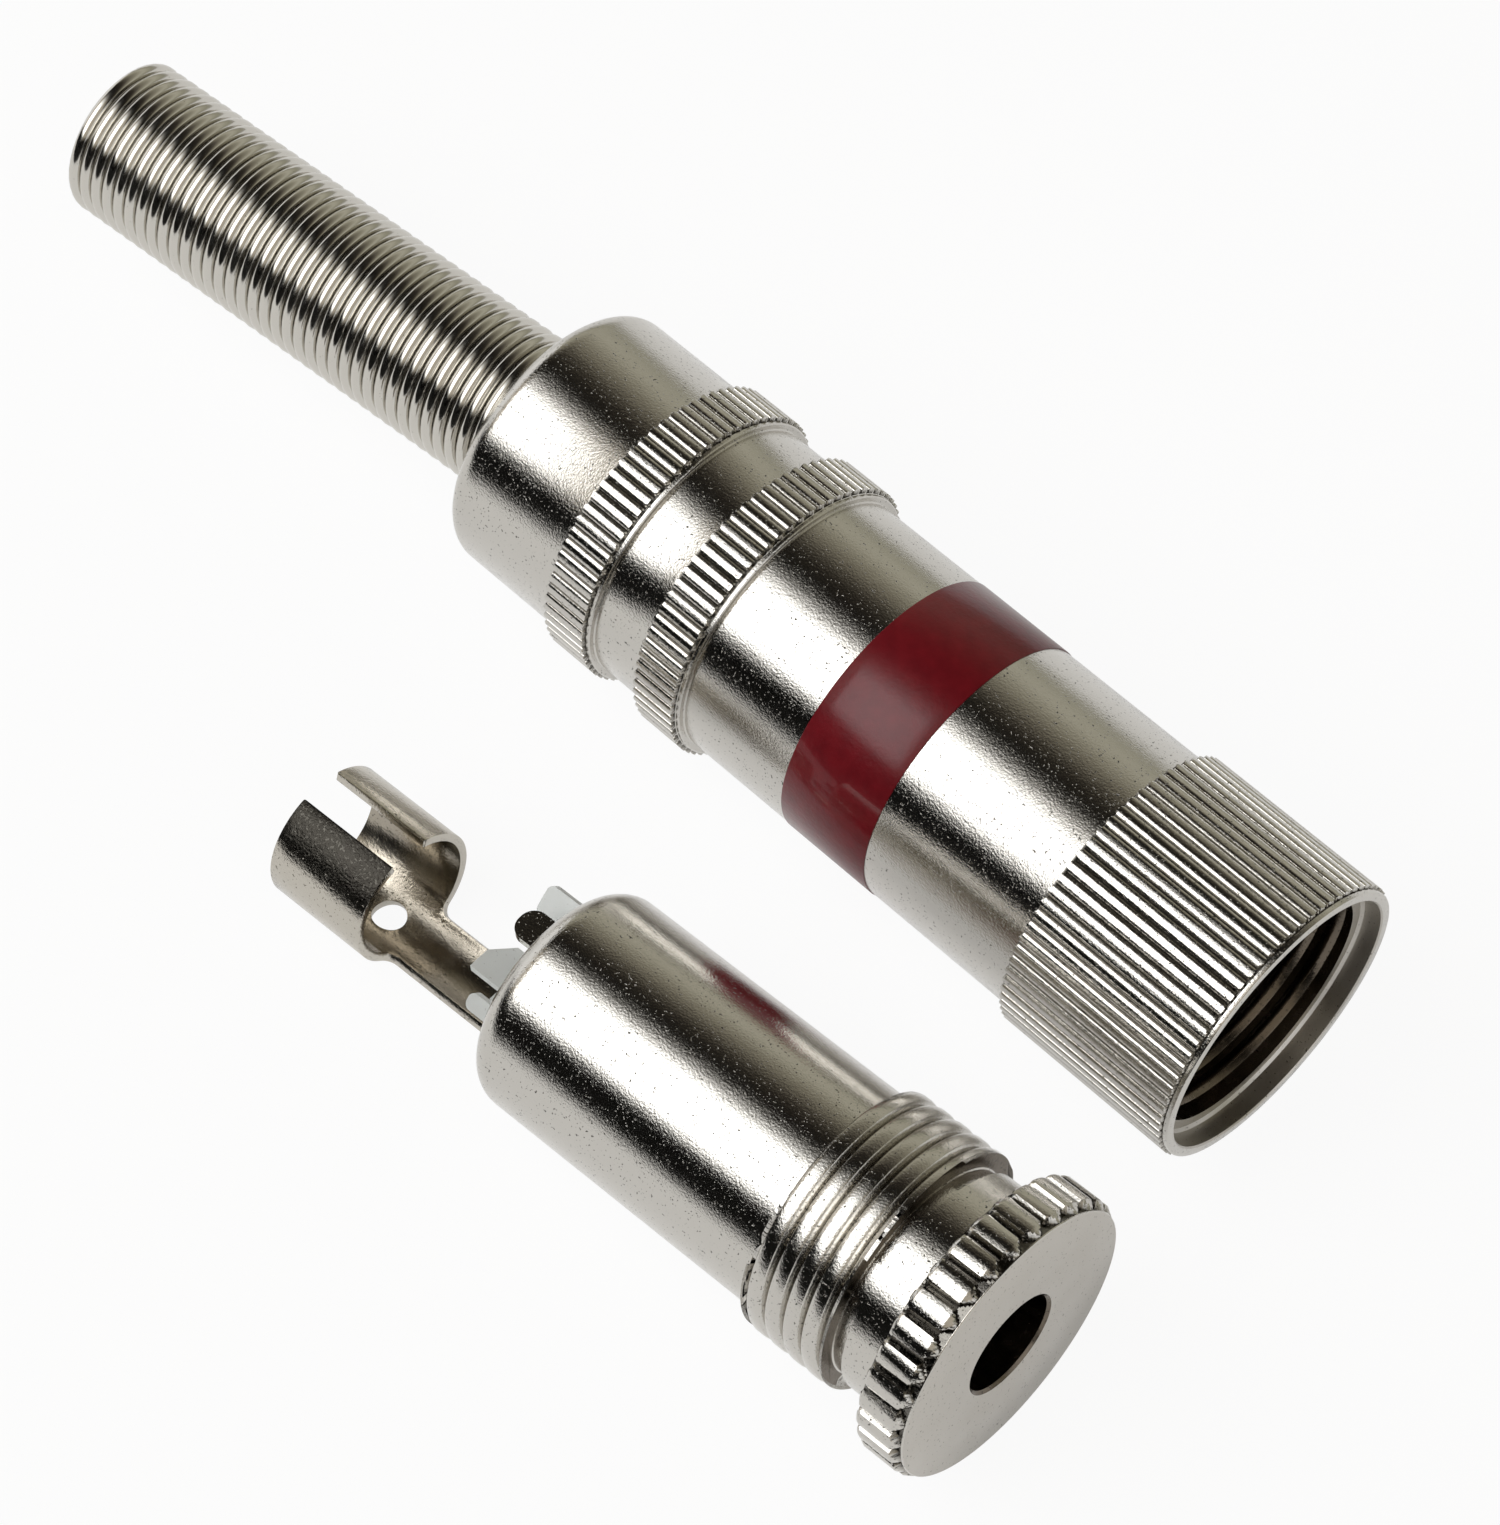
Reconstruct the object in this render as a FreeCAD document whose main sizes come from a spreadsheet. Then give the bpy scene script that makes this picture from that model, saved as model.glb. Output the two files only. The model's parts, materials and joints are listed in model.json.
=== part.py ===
import FreeCAD, Part

import math
import os

import Sketcher
from FreeCAD import Placement, Rotation, Vector

# Inline 3.5 mm jack socket, taken apart: the screw-on shell with its strain-relief spring
# lies beside the socket core. Every turned piece is drawn from its front end back along X,
# with its near side on +Y, and is then turned round and laid down on the bench.
# All sizes are in millimetres and degrees.

# Every size that is set by itself
SIZES = [
    # Core, from the plug's bore outwards
    ("plug_bore_radius", 1.80),
    ("plug_bore_bevel", 0.25),
    ("carrier_bore_gap", 0.30),
    ("carrier_wall", 1.45),
    ("part_clearance", 0.05),
    ("housing_wall", 0.46),
    ("thread_height", 0.39),
    ("thread_bevel", 0.30),
    ("neck_depth", 0.40),
    ("relief_depth", 0.60),
    ("flange_height", 0.74),
    ("flange_bevel", 0.21),
    ("lip_reach", 1.11),
    # Core, from its front face back
    ("flange_thickness", 1.81),
    ("neck_length", 1.49),
    ("relief_width", 0.50),
    ("thread_length", 3.30),
    ("floor_thickness", 0.90),
    ("barrel_length", 12.41),
    ("lip_thickness", 0.45),
    ("housing_round", 1.05),
    ("housing_inner_bevel", 0.50),
    ("disc_thickness", 1.21),
    ("carrier_back", 2.40),
    # Coarse teeth of the flange
    ("flange_teeth", 35),
    ("flange_tooth_rim", 0.42),
    ("flange_tooth_depth", 0.30),
    ("flange_tooth_gap", 0.52),
    # Sheet-metal contacts and their solder lugs, on the core's near (+) or far (-) side
    ("sheet_thickness", 0.30),
    ("slot_clearance", 0.06),
    ("lug_bed", 1.20),
    ("lug_corner", 0.25),
    ("bump_depth", 0.25),
    ("bump_setback", 2.80),
    ("bump_spacing", 2.20),
    ("leaf_tail", 1.20),
    ("leaf_tail_rise", 0.35),
    ("leaf_width", 1.00),
    ("tip_leaf_rise", 0.90),
    ("tip_lug_height", 1.10),
    ("tip_lug_side", -0.75),
    ("tip_lug_width", 1.20),
    ("tip_lug_reach", 1.99),
    ("tip_lug_round", 0.55),
    ("ring_leaf_rise", 0.55),
    ("ring_lug_height", 0.35),
    ("ring_lug_side", 0.60),
    ("ring_lug_width", 1.50),
    ("ring_lug_reach", 2.29),
    ("ring_lug_cut", 0.70),
    ("ring_shoulder_reach", 0.94),
    ("ring_shoulder_width", 0.48),
    ("sleeve_lug_tilt", -40),
    ("sleeve_lug_height", -1.48),
    ("sleeve_lug_inset", 0.63),
    ("sleeve_lug_width", 1.12),
    ("sleeve_lug_reach", 2.54),
    ("sleeve_tongue_width", 0.55),
    # Folded earthing tab beside the strap
    ("tab_tilt", -45),
    ("tab_height", 0.47),
    ("tab_side", 1.88),
    ("tab_width", 0.62),
    ("tab_reach", 2.19),
    # Cable clamp, curled from one strip
    ("clamp_radius", 2.515),
    ("clamp_roll", 8.2),
    ("clamp_twist", -3.7),
    ("clamp_reach", 6.34),
    ("clamp_wing_length", 4.10),
    ("clamp_wing_span", 325.8),
    ("clamp_bed", 3.30),
    ("clamp_tail_span", 60.9),
    ("clamp_tail_taper", 0.06),
    ("clamp_shoulder", 0.80),
    ("strap_hole_radius", 0.62),
    ("strap_hole_setback", 1.25),
    # Shell, from the core that it takes outwards
    ("thread_bore_clearance", 0.06),
    ("cavity_clearance", 0.14),
    ("shell_wall", 0.85),
    ("grip_height", 0.35),
    ("mouth_wall", 0.48),
    ("front_ring_height", 0.42),
    ("rear_ring_height", 0.38),
    ("ring_lip_height", 0.22),
    ("band_film", 0.03),
    # Shell, from its mouth back
    ("mouth_depth", 0.80),
    ("thread_bore_depth", 5.70),
    ("grip_rim", 0.30),
    ("grip_length", 7.10),
    ("front_barrel", 6.28),
    ("band_width", 3.72),
    ("middle_barrel", 4.50),
    ("ring_lip_width", 0.18),
    ("front_ring_width", 1.99),
    ("ring_gap", 2.22),
    ("rear_ring_width", 2.03),
    ("rear_cap", 5.29),
    ("shoulder_round", 0.83),
    ("rear_wall", 1.60),
    # Knurls of the shell
    ("knurl_teeth", 70),
    ("knurl_depth", 0.17),
    ("knurl_gap", 0.30),
    # Insulating sleeve inside the shell
    ("sleeve_wall", 0.25),
    ("sleeve_clearance", 0.05),
    ("sleeve_length", 13.18),
    # Strain-relief spring, close coiled
    ("collar_clearance", 0.30),
    ("collar_step", 0.65),
    ("collar_width", 0.35),
    ("spring_seat_gap", 0.32),
    ("spring_hole_clearance", 0.26),
    ("spring_wire", 0.50),
    ("spring_pitch", 0.543),
    ("spring_coils", 42),
    ("spring_notch", 0.20),
    ("spring_flats", 16),
    ("spring_yaw", 4.07),
    ("spring_droop", 0.26),
    # How the two halves lie on the bench
    ("bench_gap_y", 14.03),
    ("bench_lead_x", 1.45),
    ("core_yaw", 1.9),
]

# What follows from them: a piece that fits in another takes its size from that piece
DERIVED = [
    ("carrier_bore_radius", "plug_bore_radius + carrier_bore_gap"),
    ("carrier_radius", "carrier_bore_radius + carrier_wall"),
    ("housing_bore_radius", "carrier_radius + part_clearance"),
    ("housing_radius", "housing_bore_radius + housing_wall"),
    ("thread_radius", "housing_radius + thread_height"),
    ("neck_radius", "thread_radius - neck_depth"),
    ("relief_radius", "thread_radius - relief_depth"),
    ("flange_radius", "thread_radius + flange_height"),
    ("lip_radius", "housing_radius - lip_reach"),
    ("neck_end", "flange_thickness + neck_length"),
    ("thread_start", "neck_end + relief_width"),
    ("thread_end", "thread_start + thread_length"),
    ("housing_floor", "thread_end + floor_thickness"),
    ("housing_end", "thread_end + barrel_length"),
    ("disc_end", "housing_end - lip_thickness - part_clearance"),
    ("carrier_end", "disc_end - disc_thickness"),
    ("carrier_floor", "carrier_end - carrier_back"),
    ("lug_root", "carrier_end - lug_bed"),
    ("bump_height", "plug_bore_radius - bump_depth"),
    ("leaf_tail_height", "plug_bore_radius + leaf_tail_rise"),
    ("tip_leaf_height", "plug_bore_radius + tip_leaf_rise"),
    ("tip_lug_end", "housing_end + tip_lug_reach"),
    ("tip_bump", "carrier_floor - bump_setback"),
    ("tip_leaf_end", "tip_bump - leaf_tail"),
    ("ring_leaf_height", "plug_bore_radius + ring_leaf_rise"),
    ("ring_lug_end", "housing_end + ring_lug_reach"),
    ("ring_shoulder_end", "housing_end + ring_shoulder_reach"),
    ("ring_shoulder_side", "ring_lug_side + ring_lug_width / 2 + ring_shoulder_width"),
    ("ring_bump", "tip_bump - bump_spacing"),
    ("ring_leaf_end", "ring_bump - leaf_tail"),
    ("sleeve_lug_side", "sleeve_lug_inset - lip_radius + sleeve_lug_width / 2"),
    ("sleeve_lug_end", "housing_end + sleeve_lug_reach"),
    ("tab_end", "housing_end + tab_reach"),
    ("clamp_bore_radius", "clamp_radius - sheet_thickness"),
    ("clamp_drop", "carrier_radius - clamp_radius"),
    ("clamp_wing_start", "housing_end + clamp_reach"),
    ("clamp_wing_end", "clamp_wing_start + clamp_wing_length"),
    ("clamp_tail_start", "carrier_end - clamp_bed"),
    ("strap_hole_place", "clamp_wing_start + strap_hole_setback"),
    ("thread_bore_radius", "housing_radius + thread_bore_clearance"),
    ("cavity_radius", "housing_radius + cavity_clearance"),
    ("barrel_radius", "cavity_radius + shell_wall"),
    ("grip_radius", "barrel_radius + grip_height"),
    ("mouth_radius", "grip_radius - mouth_wall"),
    ("rim_radius", "grip_radius - knurl_depth - part_clearance"),
    ("front_ring_radius", "barrel_radius + front_ring_height"),
    ("rear_ring_radius", "barrel_radius + rear_ring_height"),
    ("ring_lip_radius", "barrel_radius + ring_lip_height"),
    ("band_start", "grip_length + front_barrel"),
    ("band_end", "band_start + band_width"),
    ("front_ring_start", "band_end + middle_barrel"),
    ("front_ring_end", "front_ring_start + front_ring_width"),
    ("rear_ring_start", "front_ring_end + ring_gap"),
    ("rear_ring_end", "rear_ring_start + rear_ring_width"),
    ("shell_length", "rear_ring_end + rear_cap"),
    ("cavity_end", "shell_length - rear_wall"),
    ("sleeve_radius", "cavity_radius - sleeve_clearance"),
    ("collar_radius", "sleeve_radius - sleeve_wall - collar_clearance"),
    ("spring_radius", "collar_radius - collar_step"),
    ("spring_bore_radius", "spring_radius - spring_wire"),
    ("spring_hole_radius", "spring_radius + spring_hole_clearance"),
    ("spring_seat", "cavity_end - spring_seat_gap - collar_width"),
]

# The strap's section where it passes the housing's rolled edge, in the clamp's rolled frame
STRAP_ACROSS = (
    "- clamp_radius * sin( clamp_tail_span / 2 - clamp_twist )",
    "clamp_radius * sin( clamp_tail_span / 2 + clamp_twist )",
)
STRAP_UP = (
    "- clamp_drop - clamp_radius",
    "- clamp_drop - ( clamp_bore_radius - clamp_tail_taper ) * cos( clamp_tail_span / 2 - clamp_twist )",
)

# A rounded rear edge is turned in this many straight steps
ROUND_STEPS = 3

doc = FreeCAD.newDocument("inline_jack_socket")


def fill_sheet(name, rows):
    """A sheet with one named cell for each row."""
    sheet = doc.addObject("Spreadsheet::Sheet", name)
    for row, (alias, content) in enumerate(rows, start=1):
        sheet.set(f"A{row}", alias)
        sheet.set(f"B{row}", content)
        sheet.setAlias(f"B{row}", alias)
    doc.recompute()
    return sheet


def bound(text):
    """An expression in which each alias is read from its sheet."""
    words = []
    for word in text.split():
        if word in set_names:
            word = f"Sizes.{word}"
        elif word in derived_names:
            word = f"Derived.{word}"
        words.append(word)
    return " ".join(words)


set_names = {alias for alias, _ in SIZES}
derived_names = {alias for alias, _ in DERIVED}
sizes_sheet = fill_sheet("Sizes", [(alias, str(value)) for alias, value in SIZES])
derived_sheet = fill_sheet("Derived", [(alias, "=" + bound(text)) for alias, text in DERIVED])


def size(alias):
    """The value of one cell of the sheets."""
    sheet = sizes_sheet if alias in set_names else derived_sheet
    return float(sheet.get(alias))


def new_body(label):
    body = doc.addObject("PartDesign::Body", label)
    body.Label = label
    return body


def origin_feature(body, role):
    return next(f for f in body.Origin.OriginFeatures if f.Role == role)


def new_sketch(body, name, role, along=None, roll=None):
    """A sketch on one of the body's origin planes, moved along its normal or turned about it."""
    sketch = body.newObject("Sketcher::SketchObject", name)
    sketch.AttachmentSupport = [(origin_feature(body, role), "")]
    sketch.MapMode = "FlatFace"
    if along:
        sketch.setExpression("AttachmentOffset.Base.z", bound(along))
    if roll:
        sketch.AttachmentOffset = Placement(Vector(), Rotation(Vector(0, 0, 1), 1))
        sketch.setExpression("AttachmentOffset.Rotation.Angle", bound(roll))
    return sketch


def closed_outline(sketch, points):
    """A closed outline of straight lines through points given as pairs of expressions.

    It is first drawn on a small circle, and its constraints then carry it to its place.
    """
    count = len(points)
    turns = [2 * math.pi * number / count for number in range(count)]
    spots = [Vector(2 + math.cos(turn), 2 + math.sin(turn), 0) for turn in turns]
    for here, there in zip(spots, spots[1:] + spots[:1]):
        sketch.addGeometry(Part.LineSegment(here, there))
    for line in range(count):
        sketch.addConstraint(Sketcher.Constraint("Coincident", line, 2, (line + 1) % count, 1))
    for line, (spot, (across, up)) in enumerate(zip(spots, points)):
        for kind, axis, start, text in (("DistanceX", -2, spot.x, across), ("DistanceY", -1, spot.y, up)):
            if text == "0":
                sketch.addConstraint(Sketcher.Constraint("PointOnObject", line, 1, axis))
                continue
            index = sketch.addConstraint(Sketcher.Constraint(kind, -1, 1, line, 1, start))
            sketch.setExpression(f"Constraints[{index}]", bound(text))


def revolve(body, name, points, span=None):
    """A solid turned about the body's X axis from an outline of (station, radius) points."""
    sketch = new_sketch(body, name + "_outline", "XZ_Plane")
    closed_outline(sketch, points)
    turned = body.newObject("PartDesign::Revolution", name)
    turned.Profile = sketch
    turned.ReferenceAxis = (sketch, ["H_Axis"])
    turned.Angle = 360
    if span:
        turned.Midplane = True
        turned.setExpression("Angle", bound(span))
    return turned


def pad(body, name, role, points, length, along=None):
    """A plate of one outline, its thickness shared by both sides of the sketch."""
    sketch = new_sketch(body, name + "_outline", role, along=along)
    closed_outline(sketch, points)
    plate = body.newObject("PartDesign::Pad", name)
    plate.Profile = sketch
    plate.Midplane = True
    plate.setExpression("Length", bound(length))
    return plate


def pocket(body, name, role, points, length, along=None, roll=None):
    """A cut of one outline, along the sketch's normal."""
    sketch = new_sketch(body, name + "_outline", role, along=along, roll=roll)
    closed_outline(sketch, points)
    before = body.Shape.Volume
    cut = body.newObject("PartDesign::Pocket", name)
    cut.Profile = sketch
    cut.Reversed = True
    cut.setExpression("Length", bound(length))
    body.Tip = cut
    doc.recompute()
    if not body.Shape.Volume < before:
        raise SystemExit(f"{name} cuts nothing")
    return cut


def slot(body, name, start, end, across, up, roll=None):
    """A slot of rectangular section between two stations, with its clearance all round."""
    low, high = (f"{across[0]} - slot_clearance", f"{across[1]} + slot_clearance")
    bottom, top = (f"{up[0]} - slot_clearance", f"{up[1]} + slot_clearance")
    corners = [(low, bottom), (high, bottom), (high, top), (low, top)]
    return pocket(body, name, "YZ_Plane", corners, f"{end} - ( {start} )", along=start, roll=roll)


def polar_repeat(body, cut, count):
    """Repeats a cut round the body's X axis."""
    pattern = body.newObject("PartDesign::PolarPattern", cut.Name + "_round")
    pattern.Originals = [cut]
    pattern.Axis = (cut.Profile[0], ["N_Axis"])
    pattern.Angle = 360
    pattern.setExpression("Occurrences", bound(count))
    body.Tip = pattern
    return pattern


def knurl(body, name, start, end, crest, depth, gap, teeth):
    """V-shaped flutes between two stations, evenly spaced round the axis.

    The V is as wide as the gap at the crest, and runs on past it by half its own depth.
    """
    beyond, half_width = f"{crest} + {depth} / 2", f"{gap} / 2 * 1.5"
    flute = pocket(body, name, "YZ_Plane", [
        ("0", f"{crest} - {depth}"), (half_width, beyond), (f"- {half_width}", beyond),
    ], f"{end} - {start}", along=start)
    return polar_repeat(body, flute, teeth)


def rounded_rear(station, radius, reach):
    """Outline points of a rounded rear edge, from its outside to its end face."""
    points = []
    for step in range(ROUND_STEPS + 1):
        turn = 90 / ROUND_STEPS * step
        points.append((f"{station} - {reach} * ( 1 - sin( {turn} ) )",
                       f"{radius} - {reach} * ( 1 - cos( {turn} ) )"))
    return points


def round_edges(body, name, edges, radius):
    base = body.Tip
    fillet = body.newObject("PartDesign::Fillet", name)
    fillet.Base = (base, edges)
    fillet.setExpression("Radius", bound(radius))
    body.Tip = fillet
    return fillet


def ends_of(side, width):
    """The two edges of a strip of one width centred on one side value."""
    return f"{side} - {width} / 2", f"{side} + {width} / 2"


def rectangle(start, end, low, high):
    return [(start, low), (end, low), (end, high), (start, high)]


def make_shell_body():
    body = new_body("shell_body")
    outline = [
        ("0", "mouth_radius"),
        ("0", "rim_radius"),
        ("grip_rim", "rim_radius"),
        ("grip_rim", "grip_radius"),
        ("grip_length", "grip_radius"),
        ("grip_length", "barrel_radius"),
    ]
    for ring in ("front", "rear"):
        outline += [
            (f"{ring}_ring_start", "barrel_radius"),
            (f"{ring}_ring_start", "ring_lip_radius"),
            (f"{ring}_ring_start + ring_lip_width", "ring_lip_radius"),
            (f"{ring}_ring_start + ring_lip_width", f"{ring}_ring_radius"),
            (f"{ring}_ring_end", f"{ring}_ring_radius"),
            (f"{ring}_ring_end", "barrel_radius"),
        ]
    outline += rounded_rear("shell_length", "barrel_radius", "shoulder_round")
    outline += [
        ("shell_length", "spring_hole_radius"),
        ("cavity_end", "spring_hole_radius"),
        ("cavity_end", "cavity_radius"),
        ("thread_bore_depth", "cavity_radius"),
        ("thread_bore_depth", "thread_bore_radius"),
        ("mouth_depth", "thread_bore_radius"),
    ]
    revolve(body, "turned_shell", outline)
    doc.recompute()
    knurl(body, "grip_flute", "grip_rim", "grip_length", "grip_radius",
          "knurl_depth", "knurl_gap", "knurl_teeth")
    for ring in ("front", "rear"):
        knurl(body, f"{ring}_ring_flute", f"{ring}_ring_start + ring_lip_width", f"{ring}_ring_end",
              f"{ring}_ring_radius", "knurl_depth", "knurl_gap", "knurl_teeth")
    return body


def make_marking_band():
    body = new_body("marking_band")
    revolve(body, "lacquer", rectangle(
        "band_start", "band_end", "barrel_radius", "barrel_radius + band_film"))
    return body


def make_insulating_sleeve():
    body = new_body("insulating_sleeve")
    back = "cavity_end - sleeve_clearance"
    revolve(body, "tube", rectangle(
        f"{back} - sleeve_length", back, "sleeve_radius - sleeve_wall", "sleeve_radius"))
    return body


def make_strain_spring():
    """A close-coiled spring, one ridge a coil, with a wider first coil that holds it in the shell.

    Its outside is drawn with a few flats round, which follow the circle closely.
    """
    radius, pitch, length = size("spring_radius"), size("spring_pitch"), 0
    valley = radius - size("spring_notch")
    flats = round(size("spring_flats"))
    rings = [(0, size("collar_radius")), (size("collar_width"), size("collar_radius")), (pitch, valley)]
    for coil in range(1, round(size("spring_coils"))):
        length = (coil + 1) * pitch
        rings += [(length - pitch / 2, radius), (length, valley)]
    sections = []
    for station, reach in rings:
        turns = [2 * math.pi * flat / flats for flat in range(flats + 1)]
        sections.append(Part.makePolygon(
            [Vector(station, reach * math.cos(turn), reach * math.sin(turn)) for turn in turns]))
    bore = Part.makeCylinder(size("spring_bore_radius"), length, Vector(), Vector(1, 0, 0))
    spring = doc.addObject("Part::Feature", "strain_spring")
    spring.Shape = Part.makeLoft(sections, True, True).cut(bore)
    return spring


def make_socket_housing():
    body = new_body("socket_housing")
    outline = [
        ("0", "plug_bore_radius + plug_bore_bevel"),
        ("0", "flange_radius - flange_bevel"),
        ("flange_bevel", "flange_radius"),
        ("flange_thickness", "flange_radius"),
        ("flange_thickness", "neck_radius"),
        ("neck_end", "neck_radius"),
        ("neck_end + neck_radius - relief_radius", "relief_radius"),
        ("thread_start", "relief_radius"),
        ("thread_start + thread_bevel", "thread_radius"),
        ("thread_end - thread_bevel", "thread_radius"),
        ("thread_end", "housing_radius"),
    ]
    outline += rounded_rear("housing_end", "housing_radius", "housing_round")
    outline += [
        ("housing_end", "lip_radius"),
        ("housing_end - lip_thickness", "lip_radius"),
        ("housing_end - lip_thickness", "housing_bore_radius - housing_inner_bevel"),
        ("housing_end - lip_thickness - housing_inner_bevel", "housing_bore_radius"),
        ("housing_floor", "housing_bore_radius"),
        ("housing_floor", "plug_bore_radius"),
        ("plug_bore_bevel", "plug_bore_radius"),
    ]
    revolve(body, "turned_housing", outline)
    doc.recompute()
    slot(body, "strap_notch", "housing_end - lip_thickness - housing_inner_bevel",
         "housing_end + slot_clearance", STRAP_ACROSS, STRAP_UP, roll="clamp_roll")
    knurl(body, "flange_flute", "flange_tooth_rim", "flange_thickness", "flange_radius",
          "flange_tooth_depth", "flange_tooth_gap", "flange_teeth")
    return body


def sheet_between(height):
    """The lower and upper face of a sheet whose middle lies at one height."""
    return f"{height} - sheet_thickness / 2", f"{height} + sheet_thickness / 2"


def make_contact_carrier():
    body = new_body("contact_carrier")
    front = "housing_floor + part_clearance"
    revolve(body, "moulding", [
        (front, "carrier_bore_radius"),
        (front, "carrier_radius"),
        ("carrier_end", "carrier_radius"),
        ("carrier_end", "0"),
        ("carrier_floor", "0"),
        ("carrier_floor", "carrier_bore_radius"),
    ])
    doc.recompute()
    slot(body, "tip_leaf_slot", "tip_leaf_end - sheet_thickness", "lug_root + sheet_thickness",
         ends_of("tip_lug_side", "leaf_width"), ("0", "tip_leaf_height + sheet_thickness / 2"))
    slot(body, "tip_lug_slot", "lug_root - slot_clearance", "carrier_end",
         ends_of("tip_lug_side", "tip_lug_width"), sheet_between("tip_lug_height"))
    slot(body, "ring_leaf_slot", "ring_leaf_end - sheet_thickness", "lug_root + sheet_thickness",
         ends_of("ring_lug_side", "leaf_width"),
         ("- ring_leaf_height - sheet_thickness / 2", "ring_lug_height + sheet_thickness / 2"))
    slot(body, "ring_lug_slot", "lug_root - slot_clearance", "carrier_end",
         ends_of("ring_lug_side", "ring_lug_width"), sheet_between("ring_lug_height"))
    tongue_edge = "sleeve_lug_side - sleeve_lug_width / 2"
    slot(body, "sleeve_tongue_slot", "housing_floor", "carrier_end",
         (tongue_edge, f"{tongue_edge} + sleeve_tongue_width"),
         sheet_between("sleeve_lug_height"), roll="sleeve_lug_tilt")
    slot(body, "strap_channel", "clamp_tail_start - slot_clearance", "carrier_end",
         STRAP_ACROSS, STRAP_UP, roll="clamp_roll")
    return body


def make_rear_disc():
    body = new_body("rear_disc")
    revolve(body, "washer", [
        ("carrier_end", "0"),
        ("carrier_end", "carrier_radius"),
        ("disc_end - housing_inner_bevel", "carrier_radius"),
        ("disc_end", "carrier_radius - housing_inner_bevel"),
        ("disc_end", "0"),
    ])
    doc.recompute()
    slot(body, "tip_slot", "carrier_end", "disc_end",
         ends_of("tip_lug_side", "tip_lug_width"), sheet_between("tip_lug_height"))
    slot(body, "ring_slot", "carrier_end", "disc_end",
         ("ring_lug_side - ring_lug_width / 2", "ring_shoulder_side"),
         sheet_between("ring_lug_height"))
    slot(body, "sleeve_slot", "carrier_end", "disc_end",
         ends_of("sleeve_lug_side", "sleeve_lug_width"),
         sheet_between("sleeve_lug_height"), roll="sleeve_lug_tilt")
    slot(body, "tab_slot", "carrier_end", "disc_end",
         ends_of("tab_side", "tab_width"), sheet_between("tab_height"), roll="tab_tilt")
    slot(body, "strap_slot", "carrier_end", "disc_end", STRAP_ACROSS, STRAP_UP, roll="clamp_roll")
    return body


def leaf_outline(lug, leaf, run, bump_place, bump, end, tail):
    """Side view of a contact leaf: from its lug up a slope, down to the bump and up again."""
    spine = [
        ("lug_root + sheet_thickness", lug),
        ("lug_root", lug),
        (f"lug_root - ( {run} )", leaf),
        (bump_place, bump),
        (end, tail),
    ]
    below = [(station, f"{height} - sheet_thickness / 2") for station, height in spine]
    above = [(station, f"{height} + sheet_thickness / 2") for station, height in spine]
    return below + above[::-1]


def end_corners(shape, station):
    """The names of the short upright edges at one station."""
    names = []
    for number, edge in enumerate(shape.Edges, start=1):
        ends = [vertex.Point for vertex in edge.Vertexes]
        if len(ends) == 2 and all(abs(point.x - station) < 1e-4 for point in ends):
            if abs(ends[0].y - ends[1].y) < 1e-4:
                names.append(f"Edge{number}")
    return names


def make_tip_contact():
    body = new_body("tip_contact")
    low, high = ends_of("tip_lug_side", "tip_lug_width")
    pad(body, "lug", "XY_Plane", rectangle("lug_root", "tip_lug_end", low, high),
        "sheet_thickness", along="tip_lug_height")
    pad(body, "leaf", "XZ_Plane", leaf_outline(
        "tip_lug_height", "tip_leaf_height", "tip_leaf_height - tip_lug_height",
        "tip_bump", "bump_height", "tip_leaf_end", "leaf_tail_height"),
        "leaf_width", along="- tip_lug_side")
    doc.recompute()
    round_edges(body, "lug_end", end_corners(body.Shape, size("tip_lug_end")), "tip_lug_round")
    return body


def make_ring_contact():
    body = new_body("ring_contact")
    far, near = ends_of("ring_lug_side", "ring_lug_width")
    pad(body, "lug", "XY_Plane", [
        ("lug_root", far),
        ("ring_lug_end - ring_lug_cut", far),
        ("ring_lug_end", f"{far} + ring_lug_cut"),
        ("ring_lug_end", near),
        ("ring_shoulder_end", near),
        ("ring_shoulder_end", "ring_shoulder_side"),
        ("carrier_end", "ring_shoulder_side"),
        ("carrier_end", near),
        ("lug_root", near),
    ], "sheet_thickness", along="ring_lug_height")
    pad(body, "leaf", "XZ_Plane", leaf_outline(
        "ring_lug_height", "- ring_leaf_height", "ring_lug_height + ring_leaf_height",
        "ring_bump", "- bump_height", "ring_leaf_end", "- leaf_tail_height"),
        "leaf_width", along="- ring_lug_side")
    return body


def make_sleeve_contact():
    body = new_body("sleeve_contact")
    outer, inner = ends_of("sleeve_lug_side", "sleeve_lug_width")
    tongue_end = "carrier_end + sheet_thickness"
    pad(body, "lug", "XY_Plane", [
        ("housing_floor", outer),
        ("sleeve_lug_end", outer),
        ("sleeve_lug_end", inner),
        (tongue_end, inner),
        (tongue_end, f"{outer} + sleeve_tongue_width"),
        ("housing_floor", f"{outer} + sleeve_tongue_width"),
    ], "sheet_thickness", along="sleeve_lug_height")
    doc.recompute()
    round_edges(body, "lug_end", end_corners(body.Shape, size("sleeve_lug_end")), "lug_corner")
    return body


def make_earthing_tab():
    body = new_body("earthing_tab")
    low, high = ends_of("tab_side", "tab_width")
    pad(body, "blade", "XY_Plane", rectangle("carrier_end", "tab_end", low, high),
        "sheet_thickness", along="tab_height")
    doc.recompute()
    round_edges(body, "blade_end", end_corners(body.Shape, size("tab_end")), "lug_corner")
    return body


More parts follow.
